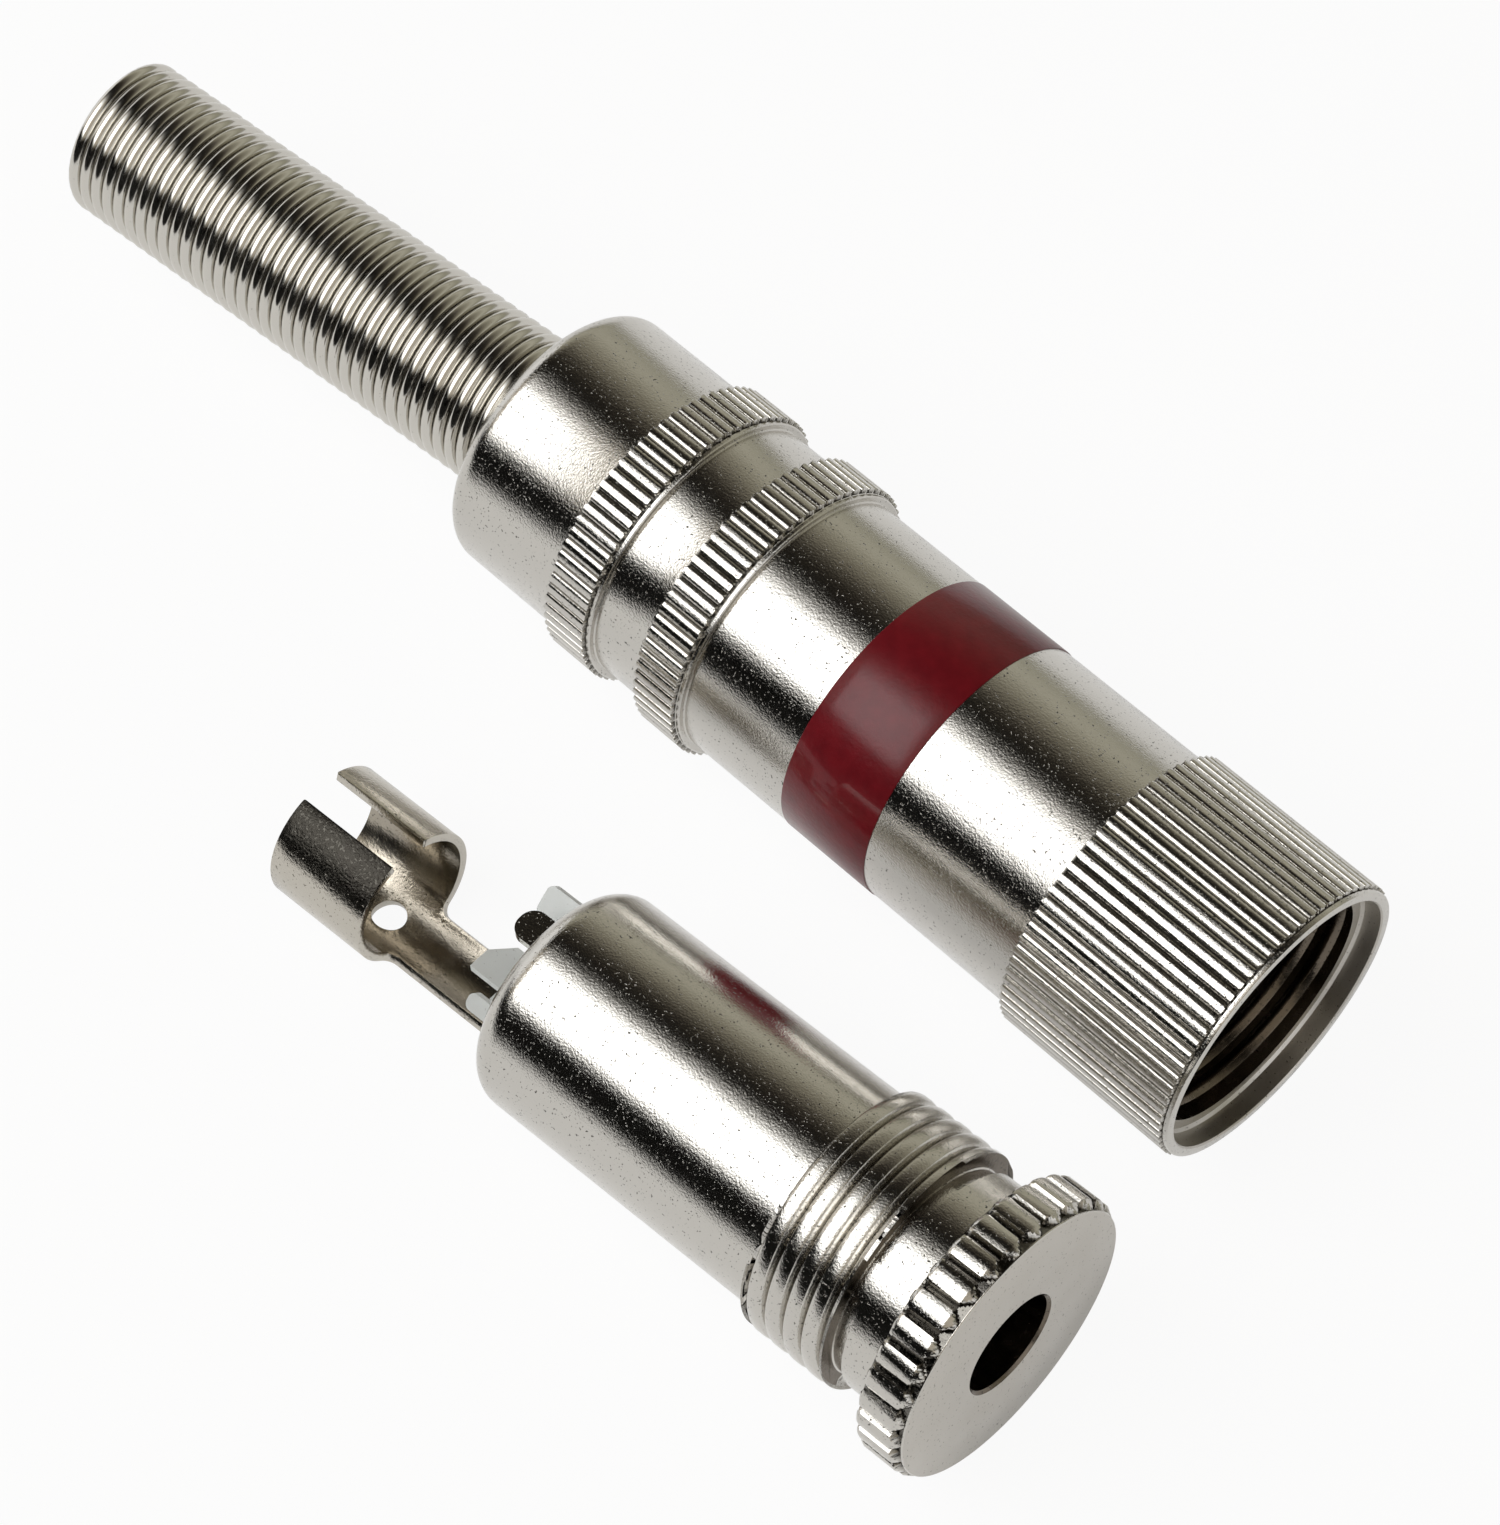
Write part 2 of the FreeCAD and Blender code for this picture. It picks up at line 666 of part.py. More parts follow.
def make_cable_clamp():
    """Two wings curled from one strip about the body's X axis, the strap's middle on +Z."""
    body = new_body("cable_clamp")
    revolve(body, "wings", rectangle(
        "clamp_wing_start", "clamp_wing_end", "clamp_bore_radius", "clamp_radius"),
        span="clamp_wing_span")
    straight, joined = "clamp_wing_start - 2 * clamp_shoulder", "clamp_wing_start + clamp_shoulder"
    revolve(body, "tail", [
        ("clamp_tail_start", "clamp_bore_radius - clamp_tail_taper"),
        (straight, "clamp_bore_radius"),
        (joined, "clamp_bore_radius"),
        (joined, "clamp_radius"),
        (straight, "clamp_radius"),
        ("clamp_tail_start", "clamp_radius - clamp_tail_taper"),
    ], span="clamp_tail_span")
    doc.recompute()
    inner_corners = []
    for number, edge in enumerate(body.Shape.Edges, start=1):
        at_start = all(abs(v.X - size("clamp_wing_start")) < 1e-4 for v in edge.Vertexes)
        middle = edge.CenterOfMass
        if at_start and abs(edge.Length - size("sheet_thickness")) < 1e-4 and middle.z > 0:
            inner_corners.append(f"Edge{number}")
    round_edges(body, "shoulders", inner_corners, "clamp_shoulder")
    hole = new_sketch(body, "strap_hole_outline", "XY_Plane")
    hole.addGeometry(Part.Circle(Vector(size("strap_hole_place"), 0, 0), Vector(0, 0, 1),
                                 size("strap_hole_radius")))
    hole.addConstraint(Sketcher.Constraint("PointOnObject", 0, 3, -1))
    place = hole.addConstraint(Sketcher.Constraint(
        "DistanceX", -1, 1, 0, 3, size("strap_hole_place")))
    hole.setExpression(f"Constraints[{place}]", bound("strap_hole_place"))
    radius = hole.addConstraint(Sketcher.Constraint("Radius", 0, size("strap_hole_radius")))
    hole.setExpression(f"Constraints[{radius}]", bound("strap_hole_radius"))
    before = body.Shape.Volume
    cut = body.newObject("PartDesign::Pocket", "strap_hole")
    cut.Profile = hole
    cut.Reversed = True
    cut.setExpression("Length", bound("clamp_radius + sheet_thickness"))
    doc.recompute()
    if not body.Shape.Volume < before:
        raise SystemExit("strap_hole cuts nothing")
    return body


def turn_about(axis, angle):
    return Placement(Vector(), Rotation(axis, angle))


def lay_down(front, yaw, pitch):
    """The placement of a turned half: its front end at one point, its nose turned and raised."""
    nose = turn_about(Vector(0, 0, 1), 180 + yaw).multiply(turn_about(Vector(0, 1, 0), pitch))
    return Placement(front, nose.Rotation)


def shell_placement():
    """The shell rests on its grip's front edge and its front ring."""
    touch = size("front_ring_start") + size("ring_lip_width")
    rise = size("front_ring_radius") - size("grip_radius")
    nose_down = math.atan2(rise, touch - size("grip_rim"))
    height = size("grip_radius") * math.cos(nose_down) - size("grip_rim") * math.sin(nose_down)
    return lay_down(Vector(0, 0, height), 0, -math.degrees(nose_down))


def core_placement():
    """The core rests on its flange's rear edge and on the foot of its cable clamp."""
    foot = size("clamp_drop") * math.cos(math.radians(size("clamp_roll"))) + size("clamp_radius")
    reach = size("clamp_wing_end") - size("flange_thickness")
    nose_up = math.atan2(size("flange_radius") - foot, reach)
    height = size("flange_radius") * math.cos(nose_up) + size("flange_thickness") * math.sin(nose_up)
    front = Vector(size("bench_lead_x"), -size("bench_gap_y"), height)
    return lay_down(front, size("core_yaw"), math.degrees(nose_up))


def spring_placement():
    """The spring leans in its hole, to the near side and down."""
    seat = Placement(Vector(size("spring_seat"), 0, 0), Rotation())
    lean = turn_about(Vector(0, 0, 1), size("spring_yaw"))
    droop = turn_about(Vector(0, 1, 0), size("spring_droop"))
    return seat.multiply(lean).multiply(droop)


def clamp_placement():
    """The clamp hangs under the core's axis, rolled to the near side."""
    roll = turn_about(Vector(1, 0, 0), size("clamp_roll"))
    drop = Placement(Vector(0, 0, -size("clamp_drop")), Rotation())
    turned_down = turn_about(Vector(1, 0, 0), 180 + size("clamp_twist"))
    return roll.multiply(drop).multiply(turned_down)


def tilt_of(alias):
    return turn_about(Vector(1, 0, 0), size(alias))


here = Placement()
shell_pieces = [
    (make_shell_body(), here),
    (make_marking_band(), here),
    (make_insulating_sleeve(), here),
    (make_strain_spring(), spring_placement()),
]
core_pieces = [
    (make_socket_housing(), here),
    (make_contact_carrier(), here),
    (make_rear_disc(), here),
    (make_tip_contact(), here),
    (make_ring_contact(), here),
    (make_sleeve_contact(), tilt_of("sleeve_lug_tilt")),
    (make_earthing_tab(), tilt_of("tab_tilt")),
    (make_cable_clamp(), clamp_placement()),
]
pieces = []
for half, group in ((shell_placement(), shell_pieces), (core_placement(), core_pieces)):
    for piece, own in group:
        piece.Placement = half.multiply(own)
        pieces.append(piece)
doc.recompute()

# The row's origin is the middle of the whole object's footprint, on the bench
whole = FreeCAD.BoundBox()
for piece in pieces:
    whole.add(piece.Shape.optimalBoundingBox(True, False))
shift = Placement(Vector(-whole.Center.x, -whole.Center.y, -whole.ZMin), Rotation())
for piece in pieces:
    piece.Placement = shift.multiply(piece.Placement)
doc.recompute()

for thing in doc.Objects:
    if "Invalid" in thing.State or "Error" in thing.State:
        raise SystemExit(f"{thing.Name} did not build: {thing.State}")
for piece in pieces:
    if piece.Shape.isNull() or not piece.Shape.isValid() or len(piece.Shape.Solids) != 1:
        raise SystemExit(f"{piece.Label} is not one sound solid")

os.makedirs("parts", exist_ok=True)
for piece in pieces:
    piece.Shape.exportStep(f"parts/{piece.Label}.step")
    box = piece.Shape.BoundBox
    print(f"{piece.Label}: {piece.Shape.Volume:.2f} mm3, "
          f"x {box.XMin:.2f} to {box.XMax:.2f}, z {box.ZMin:.2f} to {box.ZMax:.2f}")
print(f"Footprint centre was {whole.Center.x:.4f}, {whole.Center.y:.4f}; "
      f"size {whole.XLength:.3f} x {whole.YLength:.3f} x {whole.ZLength:.3f}")
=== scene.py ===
# Looks of an inline jack socket in two halves: the shell with its spring, and the core with its clamp
import json
import math

import bpy
import numpy as np
from mathutils import Matrix, Vector


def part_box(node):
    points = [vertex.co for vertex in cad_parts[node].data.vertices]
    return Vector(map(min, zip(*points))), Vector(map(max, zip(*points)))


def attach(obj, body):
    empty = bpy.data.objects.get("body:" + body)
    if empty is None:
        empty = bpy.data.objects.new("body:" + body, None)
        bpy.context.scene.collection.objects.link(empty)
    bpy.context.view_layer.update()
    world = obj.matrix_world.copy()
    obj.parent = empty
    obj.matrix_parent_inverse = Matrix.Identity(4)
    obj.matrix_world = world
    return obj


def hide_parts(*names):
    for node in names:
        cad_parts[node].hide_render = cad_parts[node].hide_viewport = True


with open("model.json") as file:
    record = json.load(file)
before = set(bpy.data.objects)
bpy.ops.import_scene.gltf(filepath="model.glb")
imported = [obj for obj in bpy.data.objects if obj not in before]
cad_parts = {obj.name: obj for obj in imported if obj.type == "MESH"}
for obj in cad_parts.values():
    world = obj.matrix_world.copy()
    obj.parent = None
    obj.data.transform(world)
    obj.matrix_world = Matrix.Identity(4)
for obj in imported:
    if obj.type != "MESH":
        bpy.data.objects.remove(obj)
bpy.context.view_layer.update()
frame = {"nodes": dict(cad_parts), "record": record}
bpy.ops.object.select_all(action="DESELECT")
print("frame loaded:", len(frame["nodes"]), "nodes")

mm = 0.001
tiny = 1e-6  # metres, well under any real step on this object


# Working helpers: lengths go in as millimetres, meshes are kept in metres

def mountOf(name):
    return next(m for m in frame["record"]["mounts"] if m["name"] == name)


def halfFrame(front, back):
    # X runs back along the axis, Y to the near side, Z up; the front is where stations start
    near = Vector((0, 0, 1)).cross(back).normalized()
    up = back.cross(near)
    turned = Matrix((back, near, up)).transposed().to_4x4()
    return Matrix.Translation(front) @ turned


def turnAboutX(degrees):
    return Matrix.Rotation(math.radians(degrees), 4, "X")


def pick(piece, *others):
    bpy.ops.object.select_all(action="DESELECT")
    for each in (piece, *others):
        each.select_set(True)
    bpy.context.view_layer.objects.active = piece


def openMesh(piece):
    pick(piece)
    bpy.ops.object.mode_set(mode="EDIT")
    bpy.ops.mesh.select_mode(type="VERT")


def closeMesh():
    bpy.ops.object.mode_set(mode="OBJECT")


def selectPoints(piece, chosen):
    # called in object mode; leaves the piece open with just these points selected
    mesh = piece.data
    mesh.polygons.foreach_set("select", np.zeros(len(mesh.polygons), dtype=bool))
    mesh.edges.foreach_set("select", np.zeros(len(mesh.edges), dtype=bool))
    mesh.vertices.foreach_set("select", chosen)
    openMesh(piece)


def pointsOf(piece):
    flat = np.empty(len(piece.data.vertices) * 3)
    piece.data.vertices.foreach_get("co", flat)
    return flat.reshape(-1, 3)


def freshNormals(piece):
    openMesh(piece)
    bpy.ops.mesh.select_all(action="SELECT")
    bpy.ops.mesh.remove_doubles(threshold=tiny)
    bpy.ops.mesh.normals_make_consistent(inside=False)
    closeMesh()


def turn(name, columns, outline):
    # a circle drawn out along the outline's (station, radius) points; a closed outline meets its start
    station, radius = outline[0]
    bpy.ops.object.select_all(action="DESELECT")
    bpy.ops.mesh.primitive_circle_add(
        vertices=columns, radius=radius * mm, location=(station * mm, 0, 0),
        rotation=(0, math.pi / 2, 0))
    piece = bpy.context.object
    piece.name = name
    bpy.ops.object.transform_apply(location=True, rotation=True, scale=True)
    openMesh(piece)
    bpy.ops.mesh.select_all(action="SELECT")
    for (fromStation, fromRadius), (toStation, toRadius) in zip(outline, outline[1:]):
        step = ((toStation - fromStation) * mm, 0, 0)
        bpy.ops.mesh.extrude_region_move(TRANSFORM_OT_translate={"value": step})
        growth = toRadius / fromRadius
        bpy.ops.transform.resize(value=(1, growth, growth), center_override=(0, 0, 0))
    closeMesh()
    freshNormals(piece)
    return piece


def roundTurn(fromPoint, corner, toPoint, steps):
    # a quarter round that leaves fromPoint towards the corner and reaches toPoint from it
    points = []
    for k in range(steps + 1):
        part = k / steps
        bend = math.radians(90 * part)
        along, across = math.sin(bend), 1 - math.cos(bend)
        points.append(tuple(
            start + (middle - start) * along + (end - middle) * across
            for start, middle, end in zip(fromPoint, corner, toPoint)))
    return points


def pressTeeth(piece, teeth, foot, start, end, bar):
    # points between the bars move in to the foot radius
    # each bar is crowned, and its ends narrow in plan
    points = pointsOf(piece)
    station = points[:, 0] / mm
    radius = np.hypot(points[:, 1], points[:, 2]) / mm
    phase = (np.arctan2(points[:, 1], points[:, 2]) / (2 * math.pi) * teeth) % 1
    slack = 0.004  # well under the spacing of the points
    inside = (station > start - slack) & (station < end + slack) & (radius > foot + slack)
    front = np.clip((station - start) / bar["frontRound"], 0, 1)
    rear = np.clip((end - station) / bar["rearRound"], 0, 1)
    half = bar["half"] * (1 - (1 - np.minimum(front, rear)) ** bar["taper"])
    off = np.abs(phase - 0.5)
    crown = bar["crown"] * np.clip(off / bar["half"], 0, 1) ** bar["crownCurve"]
    share = np.maximum(crown, np.clip((off - half) / bar["flank"], 0, 1))
    depthSteps = 50  # few enough that points move in groups
    share = np.round(share * depthSteps) / depthSteps
    ring = np.round(radius, 3)
    for level in np.unique(ring[inside]):
        for pull in np.unique(share[inside & (ring == level)]):
            if pull > 0:
                selectPoints(piece, inside & (ring == level) & (share == pull))
                shrink = 1 - pull * (level - foot) / level
                bpy.ops.transform.resize(value=(1, shrink, shrink), center_override=(0, 0, 0))
                closeMesh()
    # how deep each point lies between the bars, for the painted shade in the grooves
    grooveShadeFrom = bar["crown"] + 0.1
    kept = piece.data.attributes
    groove = kept.get("groove") or kept.new("groove", "FLOAT", "POINT")
    depths = np.zeros(len(points))
    groove.data.foreach_get("value", depths)
    depths[inside] = np.where(share[inside] > grooveShadeFrom, share[inside], 0)
    groove.data.foreach_set("value", depths)


def paintFaces(piece, materialIndex, chosen):
    # chosen gets each face's station, radius and angle from up to the near side, before it is laid down
    centres = np.empty(len(piece.data.polygons) * 3)
    piece.data.polygons.foreach_get("center", centres)
    centres = centres.reshape(-1, 3)
    angle = np.degrees(np.arctan2(centres[:, 1], centres[:, 2]))
    picked = chosen(centres[:, 0] / mm, np.hypot(centres[:, 1], centres[:, 2]) / mm, angle)
    indices = np.zeros(len(piece.data.polygons), dtype=np.int32)
    piece.data.polygons.foreach_get("material_index", indices)
    indices[picked] = materialIndex
    piece.data.polygons.foreach_set("material_index", indices)


def helix(name, section, pitch, turns, steps, start):
    # a closed section in the X-Z plane wound about X, its two ends capped
    bpy.ops.object.select_all(action="DESELECT")
    bpy.ops.mesh.primitive_circle_add(vertices=len(section), radius=mm)
    piece = bpy.context.object
    piece.name = name
    for vertex, (station, radius) in zip(piece.data.vertices, section):
        vertex.co = ((start + station) * mm, 0, radius * mm)
    screw = piece.modifiers.new("wound", "SCREW")
    screw.axis = "X"
    screw.angle = 2 * math.pi
    screw.screw_offset = pitch * mm
    screw.iterations = turns
    screw.steps = screw.render_steps = steps
    screw.use_merge_vertices = False
    bpy.ops.object.modifier_apply(modifier="wound")
    openMesh(piece)
    bpy.ops.mesh.select_all(action="DESELECT")
    bpy.ops.mesh.select_non_manifold(extend=False, use_boundary=True, use_wire=False,
                                     use_multi_face=False, use_non_contiguous=False, use_verts=False)
    bpy.ops.mesh.edge_face_add()
    closeMesh()
    freshNormals(piece)
    return piece


def cutAcross(piece, station, side):
    # takes off what lies past the station on that side, and closes the cut
    openMesh(piece)
    bpy.ops.mesh.select_all(action="SELECT")
    bpy.ops.mesh.bisect(
        plane_co=(station * mm, 0, 0), plane_no=(side, 0, 0), clear_outer=True, use_fill=True)
    closeMesh()


def joinInto(piece, *others):
    pick(piece, *others)
    bpy.ops.object.join()


def lie(piece, where):
    # the place goes into the mesh, so that the object stays at the origin
    pick(piece)
    piece.matrix_world = where
    bpy.ops.object.transform_apply(location=True, rotation=True, scale=True)


def smooth(piece, degrees):
    pick(piece)
    bpy.ops.object.shade_smooth_by_angle(angle=math.radians(degrees))


def standFor(piece, node):
    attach(piece, "root")
    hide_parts(node)


def useMaterial(piece, *materials):
    # clearing the slots would also forget which faces were painted
    painted = np.zeros(len(piece.data.polygons), dtype=np.int32)
    piece.data.polygons.foreach_get("material_index", painted)
    piece.data.materials.clear()
    for material in materials:
        piece.data.materials.append(material)
    piece.data.polygons.foreach_set("material_index", np.minimum(painted, len(materials) - 1))


# Where the two halves lie, taken from the frame
lieOf = {
    "shellNoseDown": 0.187,     # degrees that the shell's mouth dips
    "bandMiddle": 15.24,        # station of the band's middle on the shell
    "boreMiddle": 4.125,        # station of the plug bore's middle on the core
    "clampRoll": 8.2,           # degrees about the core's axis
    "clampTwist": -3.7,         # degrees about the clamp's own axis
    "clampDrop": 1.035,         # how far the clamp's axis lies under the core's
}
shellPitch = math.radians(lieOf["shellNoseDown"])
shellBack = Vector((-math.cos(shellPitch), 0, math.sin(shellPitch)))
bandLow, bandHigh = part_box("marking_band")
bandMiddle = (Vector(bandLow) + Vector(bandHigh)) / 2
shellFrame = halfFrame(bandMiddle - shellBack * lieOf["bandMiddle"] * mm, shellBack)

boreMount = mountOf("plug_bore")
coreBack = -Vector(boreMount["axis"]).normalized()
coreFrame = halfFrame(Vector(boreMount["pos_m"]) - coreBack * lieOf["boreMiddle"] * mm, coreBack)
clampFrame = (coreFrame @ turnAboutX(lieOf["clampRoll"])
              @ Matrix.Translation((0, 0, -lieOf["clampDrop"] * mm))
              @ turnAboutX(180 + lieOf["clampTwist"]))

exitMount = mountOf("cable_exit")
springBack = Vector(exitMount["axis"]).normalized()
springFrame = halfFrame(
    Vector(exitMount["pos_m"]) - springBack * exitMount["dims"]["length_mm"] / 2 * mm, springBack)


# Materials

def linear(hexColour):
    channels = [int(hexColour[i:i + 2], 16) / 255 for i in (1, 3, 5)]
    return [c / 12.92 if c <= 0.04045 else ((c + 0.055) / 1.055) ** 2.4 for c in channels] + [1.0]


def addNode(tree, kind, inputs=None, stops=(), **settings):
    # stops are a ramp's (place, colour) in rising order, a colour being four numbers
    node = tree.nodes.new(kind)
    for name, value in settings.items():
        setattr(node, name, value)
    for name, value in (inputs or {}).items():
        if isinstance(value, bpy.types.NodeSocket):
            tree.links.new(value, node.inputs[name])
        else:
            node.inputs[name].default_value = value
    for place, _ in stops[1:-1]:
        node.color_ramp.elements.new(place)
    if stops:
        for element, (place, colour) in zip(node.color_ramp.elements, stops):
            element.position = place
            element.color = colour
    return node


def newMaterial(name):
    material = bpy.data.materials.new(name)
    material.use_nodes = True
    tree = material.node_tree
    return material, tree, tree.nodes["Principled BSDF"]


def perGrain(millimetres):
    # texture scale on object coordinates, which are metres
    return 1 / (millimetres * mm)


def grey(level):
    return (level, level, level, 1)


noiseLow, noiseHigh = 0.3, 0.7  # nearly all of a noise texture lies between these


def platedMetal(name, look):
    # electroplated metal: mirror reflections broken up by the grain of what lies under the plate,
    # with small pits, and with painted shade darkening the grooves between knurled bars
    # grain, swell and speck are widths in millimetres; real pits are finer, and would not show
    material, tree, shader = newMaterial(name)
    place = addNode(tree, "ShaderNodeTexCoord").outputs["Object"]
    grain = addNode(tree, "ShaderNodeTexNoise", {
        "Vector": place, "Scale": perGrain(look["grain"]), "Detail": 3.0, "Roughness": 0.6})
    swell = addNode(tree, "ShaderNodeTexNoise", {
        "Vector": place, "Scale": perGrain(look["swell"]), "Detail": 1.0})
    specks = addNode(tree, "ShaderNodeTexNoise", {
        "Vector": place, "Scale": perGrain(look["speck"]), "Detail": 1.0})
    pitEdge = 0.06
    pits = addNode(tree, "ShaderNodeValToRGB", {"Fac": specks.outputs["Fac"]}, [
        (0.0, grey(0)), (look["pitFrom"], grey(0)), (look["pitFrom"] + pitEdge, grey(1))])
    groove = addNode(tree, "ShaderNodeAttribute", attribute_name="groove").outputs["Fac"]
    # painted shade: points deep between knurled bars take the dark pit colour, as the pits do
    paintedGrooveShade = addNode(tree, "ShaderNodeMath", {
        0: groove, 1: look.get("grooveShade", 0.0)}, operation="MULTIPLY")
    pitsAndPaintedShade = addNode(tree, "ShaderNodeMath", {
        0: pits.outputs["Color"], 1: paintedGrooveShade.outputs["Value"]}, operation="MAXIMUM")
    tone = addNode(tree, "ShaderNodeMix", data_type="RGBA", inputs={
        "Factor": pitsAndPaintedShade.outputs["Value"],
        "A": linear(look["colour"]), "B": linear(look["pitColour"])})
    haze = addNode(tree, "ShaderNodeMapRange", {
        "Value": swell.outputs["Fac"], "From Min": noiseLow, "From Max": noiseHigh,
        "To Min": look["gloss"][0], "To Max": look["gloss"][1]})
    wave = addNode(tree, "ShaderNodeBump", {
        "Height": swell.outputs["Fac"], "Strength": 1.0, "Distance": look["swellHeight"] * mm})
    peel = addNode(tree, "ShaderNodeBump", {
        "Height": grain.outputs["Fac"], "Strength": 1.0, "Distance": look["grainHeight"] * mm,
        "Normal": wave.outputs["Normal"]})
    dots = addNode(tree, "ShaderNodeBump", {
        "Height": pits.outputs["Color"], "Strength": 1.0, "Distance": look["pitDepth"] * mm,
        "Normal": peel.outputs["Normal"]}, invert=True)
    shader.inputs["Metallic"].default_value = look.get("metallic", 1.0)
    tree.links.new(tone.outputs["Result"], shader.inputs["Base Color"])
    tree.links.new(haze.outputs["Result"], shader.inputs["Roughness"])
    tree.links.new(dots.outputs["Normal"], shader.inputs["Normal"])
    return material


# bright nickel on turned brass: hard black and white bands, peppered with pits, with painted shade
# between the bars
turnedNickel = platedMetal("brightNickelPlate", {
    "colour": "#cdcac4", "pitColour": "#3a3730", "gloss": (0.04, 0.10), "grooveShade": 0.8,
    "grain": 0.075, "grainHeight": 0.0085, "swell": 0.45, "swellHeight": 0.003,
    "speck": 0.09, "pitFrom": 0.68, "pitDepth": 0.006})
# nickel on a faced-off end, rubbed satin: an even pale grey with no sharp image in it
faceNickel = platedMetal("satinNickelPlate", {
    "colour": "#c6c2bb", "pitColour": "#7f7b73", "gloss": (0.28, 0.38),
    "grain": 0.09, "grainHeight": 0.003, "swell": 1.5, "swellHeight": 0.001,
    "speck": 0.10, "pitFrom": 0.68, "pitDepth": 0.003})
# thin nickel inside a bore: dull and brownish, its dark colour partly painted shade of the bore, with
# only a smear of light
boreNickelPaintedShade = platedMetal("dullNickelPlatePaintedShade", {
    "colour": "#70675c", "pitColour": "#413b34", "gloss": (0.16, 0.30),
    "grain": 0.12, "grainHeight": 0.006, "swell": 0.6, "swellHeight": 0.003,
    "speck": 0.10, "pitFrom": 0.66, "pitDepth": 0.003})
# nickel on drawn wire: smooth, with a soft line of light along each coil
springNickel = platedMetal("platedSpringWire", {
    "colour": "#d2cfc8", "pitColour": "#98948b", "gloss": (0.10, 0.17),
    "grain": 0.10, "grainHeight": 0.001, "swell": 0.7, "swellHeight": 0.001,
    "speck": 0.08, "pitFrom": 0.74, "pitDepth": 0.001})
# nickel on rolled sheet, curled afterwards: a mirror gone slightly wavy
sheetNickel = platedMetal("stampedNickelSheet", {
    "colour": "#c8c3b9", "pitColour": "#8b877d", "gloss": (0.10, 0.20),
    "grain": 0.12, "grainHeight": 0.012, "swell": 0.6, "swellHeight": 0.004,
    "speck": 0.10, "pitFrom": 0.66, "pitDepth": 0.003})
# the same sheet inside the curl, where the plate is thin: duller and yellower, and darkened with
# painted shade inside the curl
curlNickelPaintedShade = platedMetal("dullNickelSheetPaintedShade", {
    "colour": "#aba497", "pitColour": "#6f6a5e", "gloss": (0.14, 0.24),
    "grain": 0.12, "grainHeight": 0.009, "swell": 0.7, "swellHeight": 0.005,
    "speck": 0.10, "pitFrom": 0.66, "pitDepth": 0.003})
# the same sheet on the near wing's outside, coloured dark as a painted dark reflection, with a coarse
# grain; its lighter specks are painted glints
nearWingPaintedReflection = platedMetal("nearWingPaintedDarkSheet", {
    "colour": "#33312d", "pitColour": "#4a4843", "gloss": (0.16, 0.26),
    "grain": 0.09, "grainHeight": 0.022, "swell": 0.4, "swellHeight": 0.010,
    "speck": 0.10, "pitFrom": 0.58, "pitDepth": 0.002})
# hot-tinned brass sheet: pale satin, nearly white in this light
tinnedSheet = platedMetal("tinnedBrassSheet", {
    "colour": "#d9dcda", "pitColour": "#b4b4b0", "gloss": (0.40, 0.52), "metallic": 0.35,
    "grain": 0.12, "grainHeight": 0.002, "swell": 0.8, "swellHeight": 0.001,
    "speck": 0.10, "pitFrom": 0.72, "pitDepth": 0.001})


def bakedLacquer(name, look):
    # sprayed and baked over metal: deep colour under a clear gloss, slightly rippled
    material, tree, shader = newMaterial(name)
    place = addNode(tree, "ShaderNodeTexCoord").outputs["Object"]
    ripple = addNode(tree, "ShaderNodeTexNoise", {
        "Vector": place, "Scale": perGrain(look["ripple"]), "Detail": 3.0, "Roughness": 0.6})
    cloud = addNode(tree, "ShaderNodeTexNoise", {
        "Vector": place, "Scale": perGrain(look["cloud"]), "Detail": 2.0})
    tone = addNode(tree, "ShaderNodeMix", data_type="RGBA", inputs={
        "Factor": cloud.outputs["Fac"], "A": linear(look["deep"]), "B": linear(look["light"])})
    bump = addNode(tree, "ShaderNodeBump", {
        "Height": ripple.outputs["Fac"], "Strength": 1.0, "Distance": look["rippleHeight"] * mm})
    tree.links.new(tone.outputs["Result"], shader.inputs["Base Color"])
    tree.links.new(bump.outputs["Normal"], shader.inputs["Normal"])
    shader.inputs["Roughness"].default_value = look["roughness"]
    shader.inputs["Specular IOR Level"].default_value = look["specular"]
    shader.inputs["Coat Weight"].default_value = look["coat"]
    shader.inputs["Coat Roughness"].default_value = look["coatRoughness"]
    return material


def mouldedPlastic(name, look):
    # an even colour with the fine spark texture of the mould or the rolls
    material, tree, shader = newMaterial(name)
    place = addNode(tree, "ShaderNodeTexCoord").outputs["Object"]
    spark = addNode(tree, "ShaderNodeTexNoise", {
        "Vector": place, "Scale": perGrain(look["grain"]), "Detail": 2.0})
    shade = addNode(tree, "ShaderNodeMapRange", {
        "Value": spark.outputs["Fac"], "From Min": noiseLow, "From Max": noiseHigh,
        "To Min": look["gloss"][0], "To Max": look["gloss"][1]})
    bump = addNode(tree, "ShaderNodeBump", {
        "Height": spark.outputs["Fac"], "Strength": 1.0, "Distance": look["grainHeight"] * mm})
    shader.inputs["Base Color"].default_value = linear(look["colour"])
    tree.links.new(shade.outputs["Result"], shader.inputs["Roughness"])
    tree.links.new(bump.outputs["Normal"], shader.inputs["Normal"])
    return material


# red stoving lacquer: wine red with a bright, slightly broken highlight
redLacquer = bakedLacquer("redStovingLacquer", {
    "deep": "#5c0d16", "light": "#78161f", "cloud": 0.5,
    "ripple": 0.16, "rippleHeight": 0.009, "roughness": 0.30, "specular": 0.2,
    "coat": 0.35, "coatRoughness": 0.05})
# injection-moulded ABS: satin black that drinks the light in the bore and behind the lugs
blackAbs = mouldedPlastic("blackAbsMoulding", {
    "colour": "#1d1d1c", "gloss": (0.34, 0.50), "grain": 0.12, "grainHeight": 0.003})
# rolled polyester film: pale, milky and smooth
sleeveFilm = mouldedPlastic("insulatingPolyesterFilm", {
    "colour": "#b8b29c", "gloss": (0.27, 0.43), "grain": 0.3, "grainHeight": 0.003})
print("materials made")


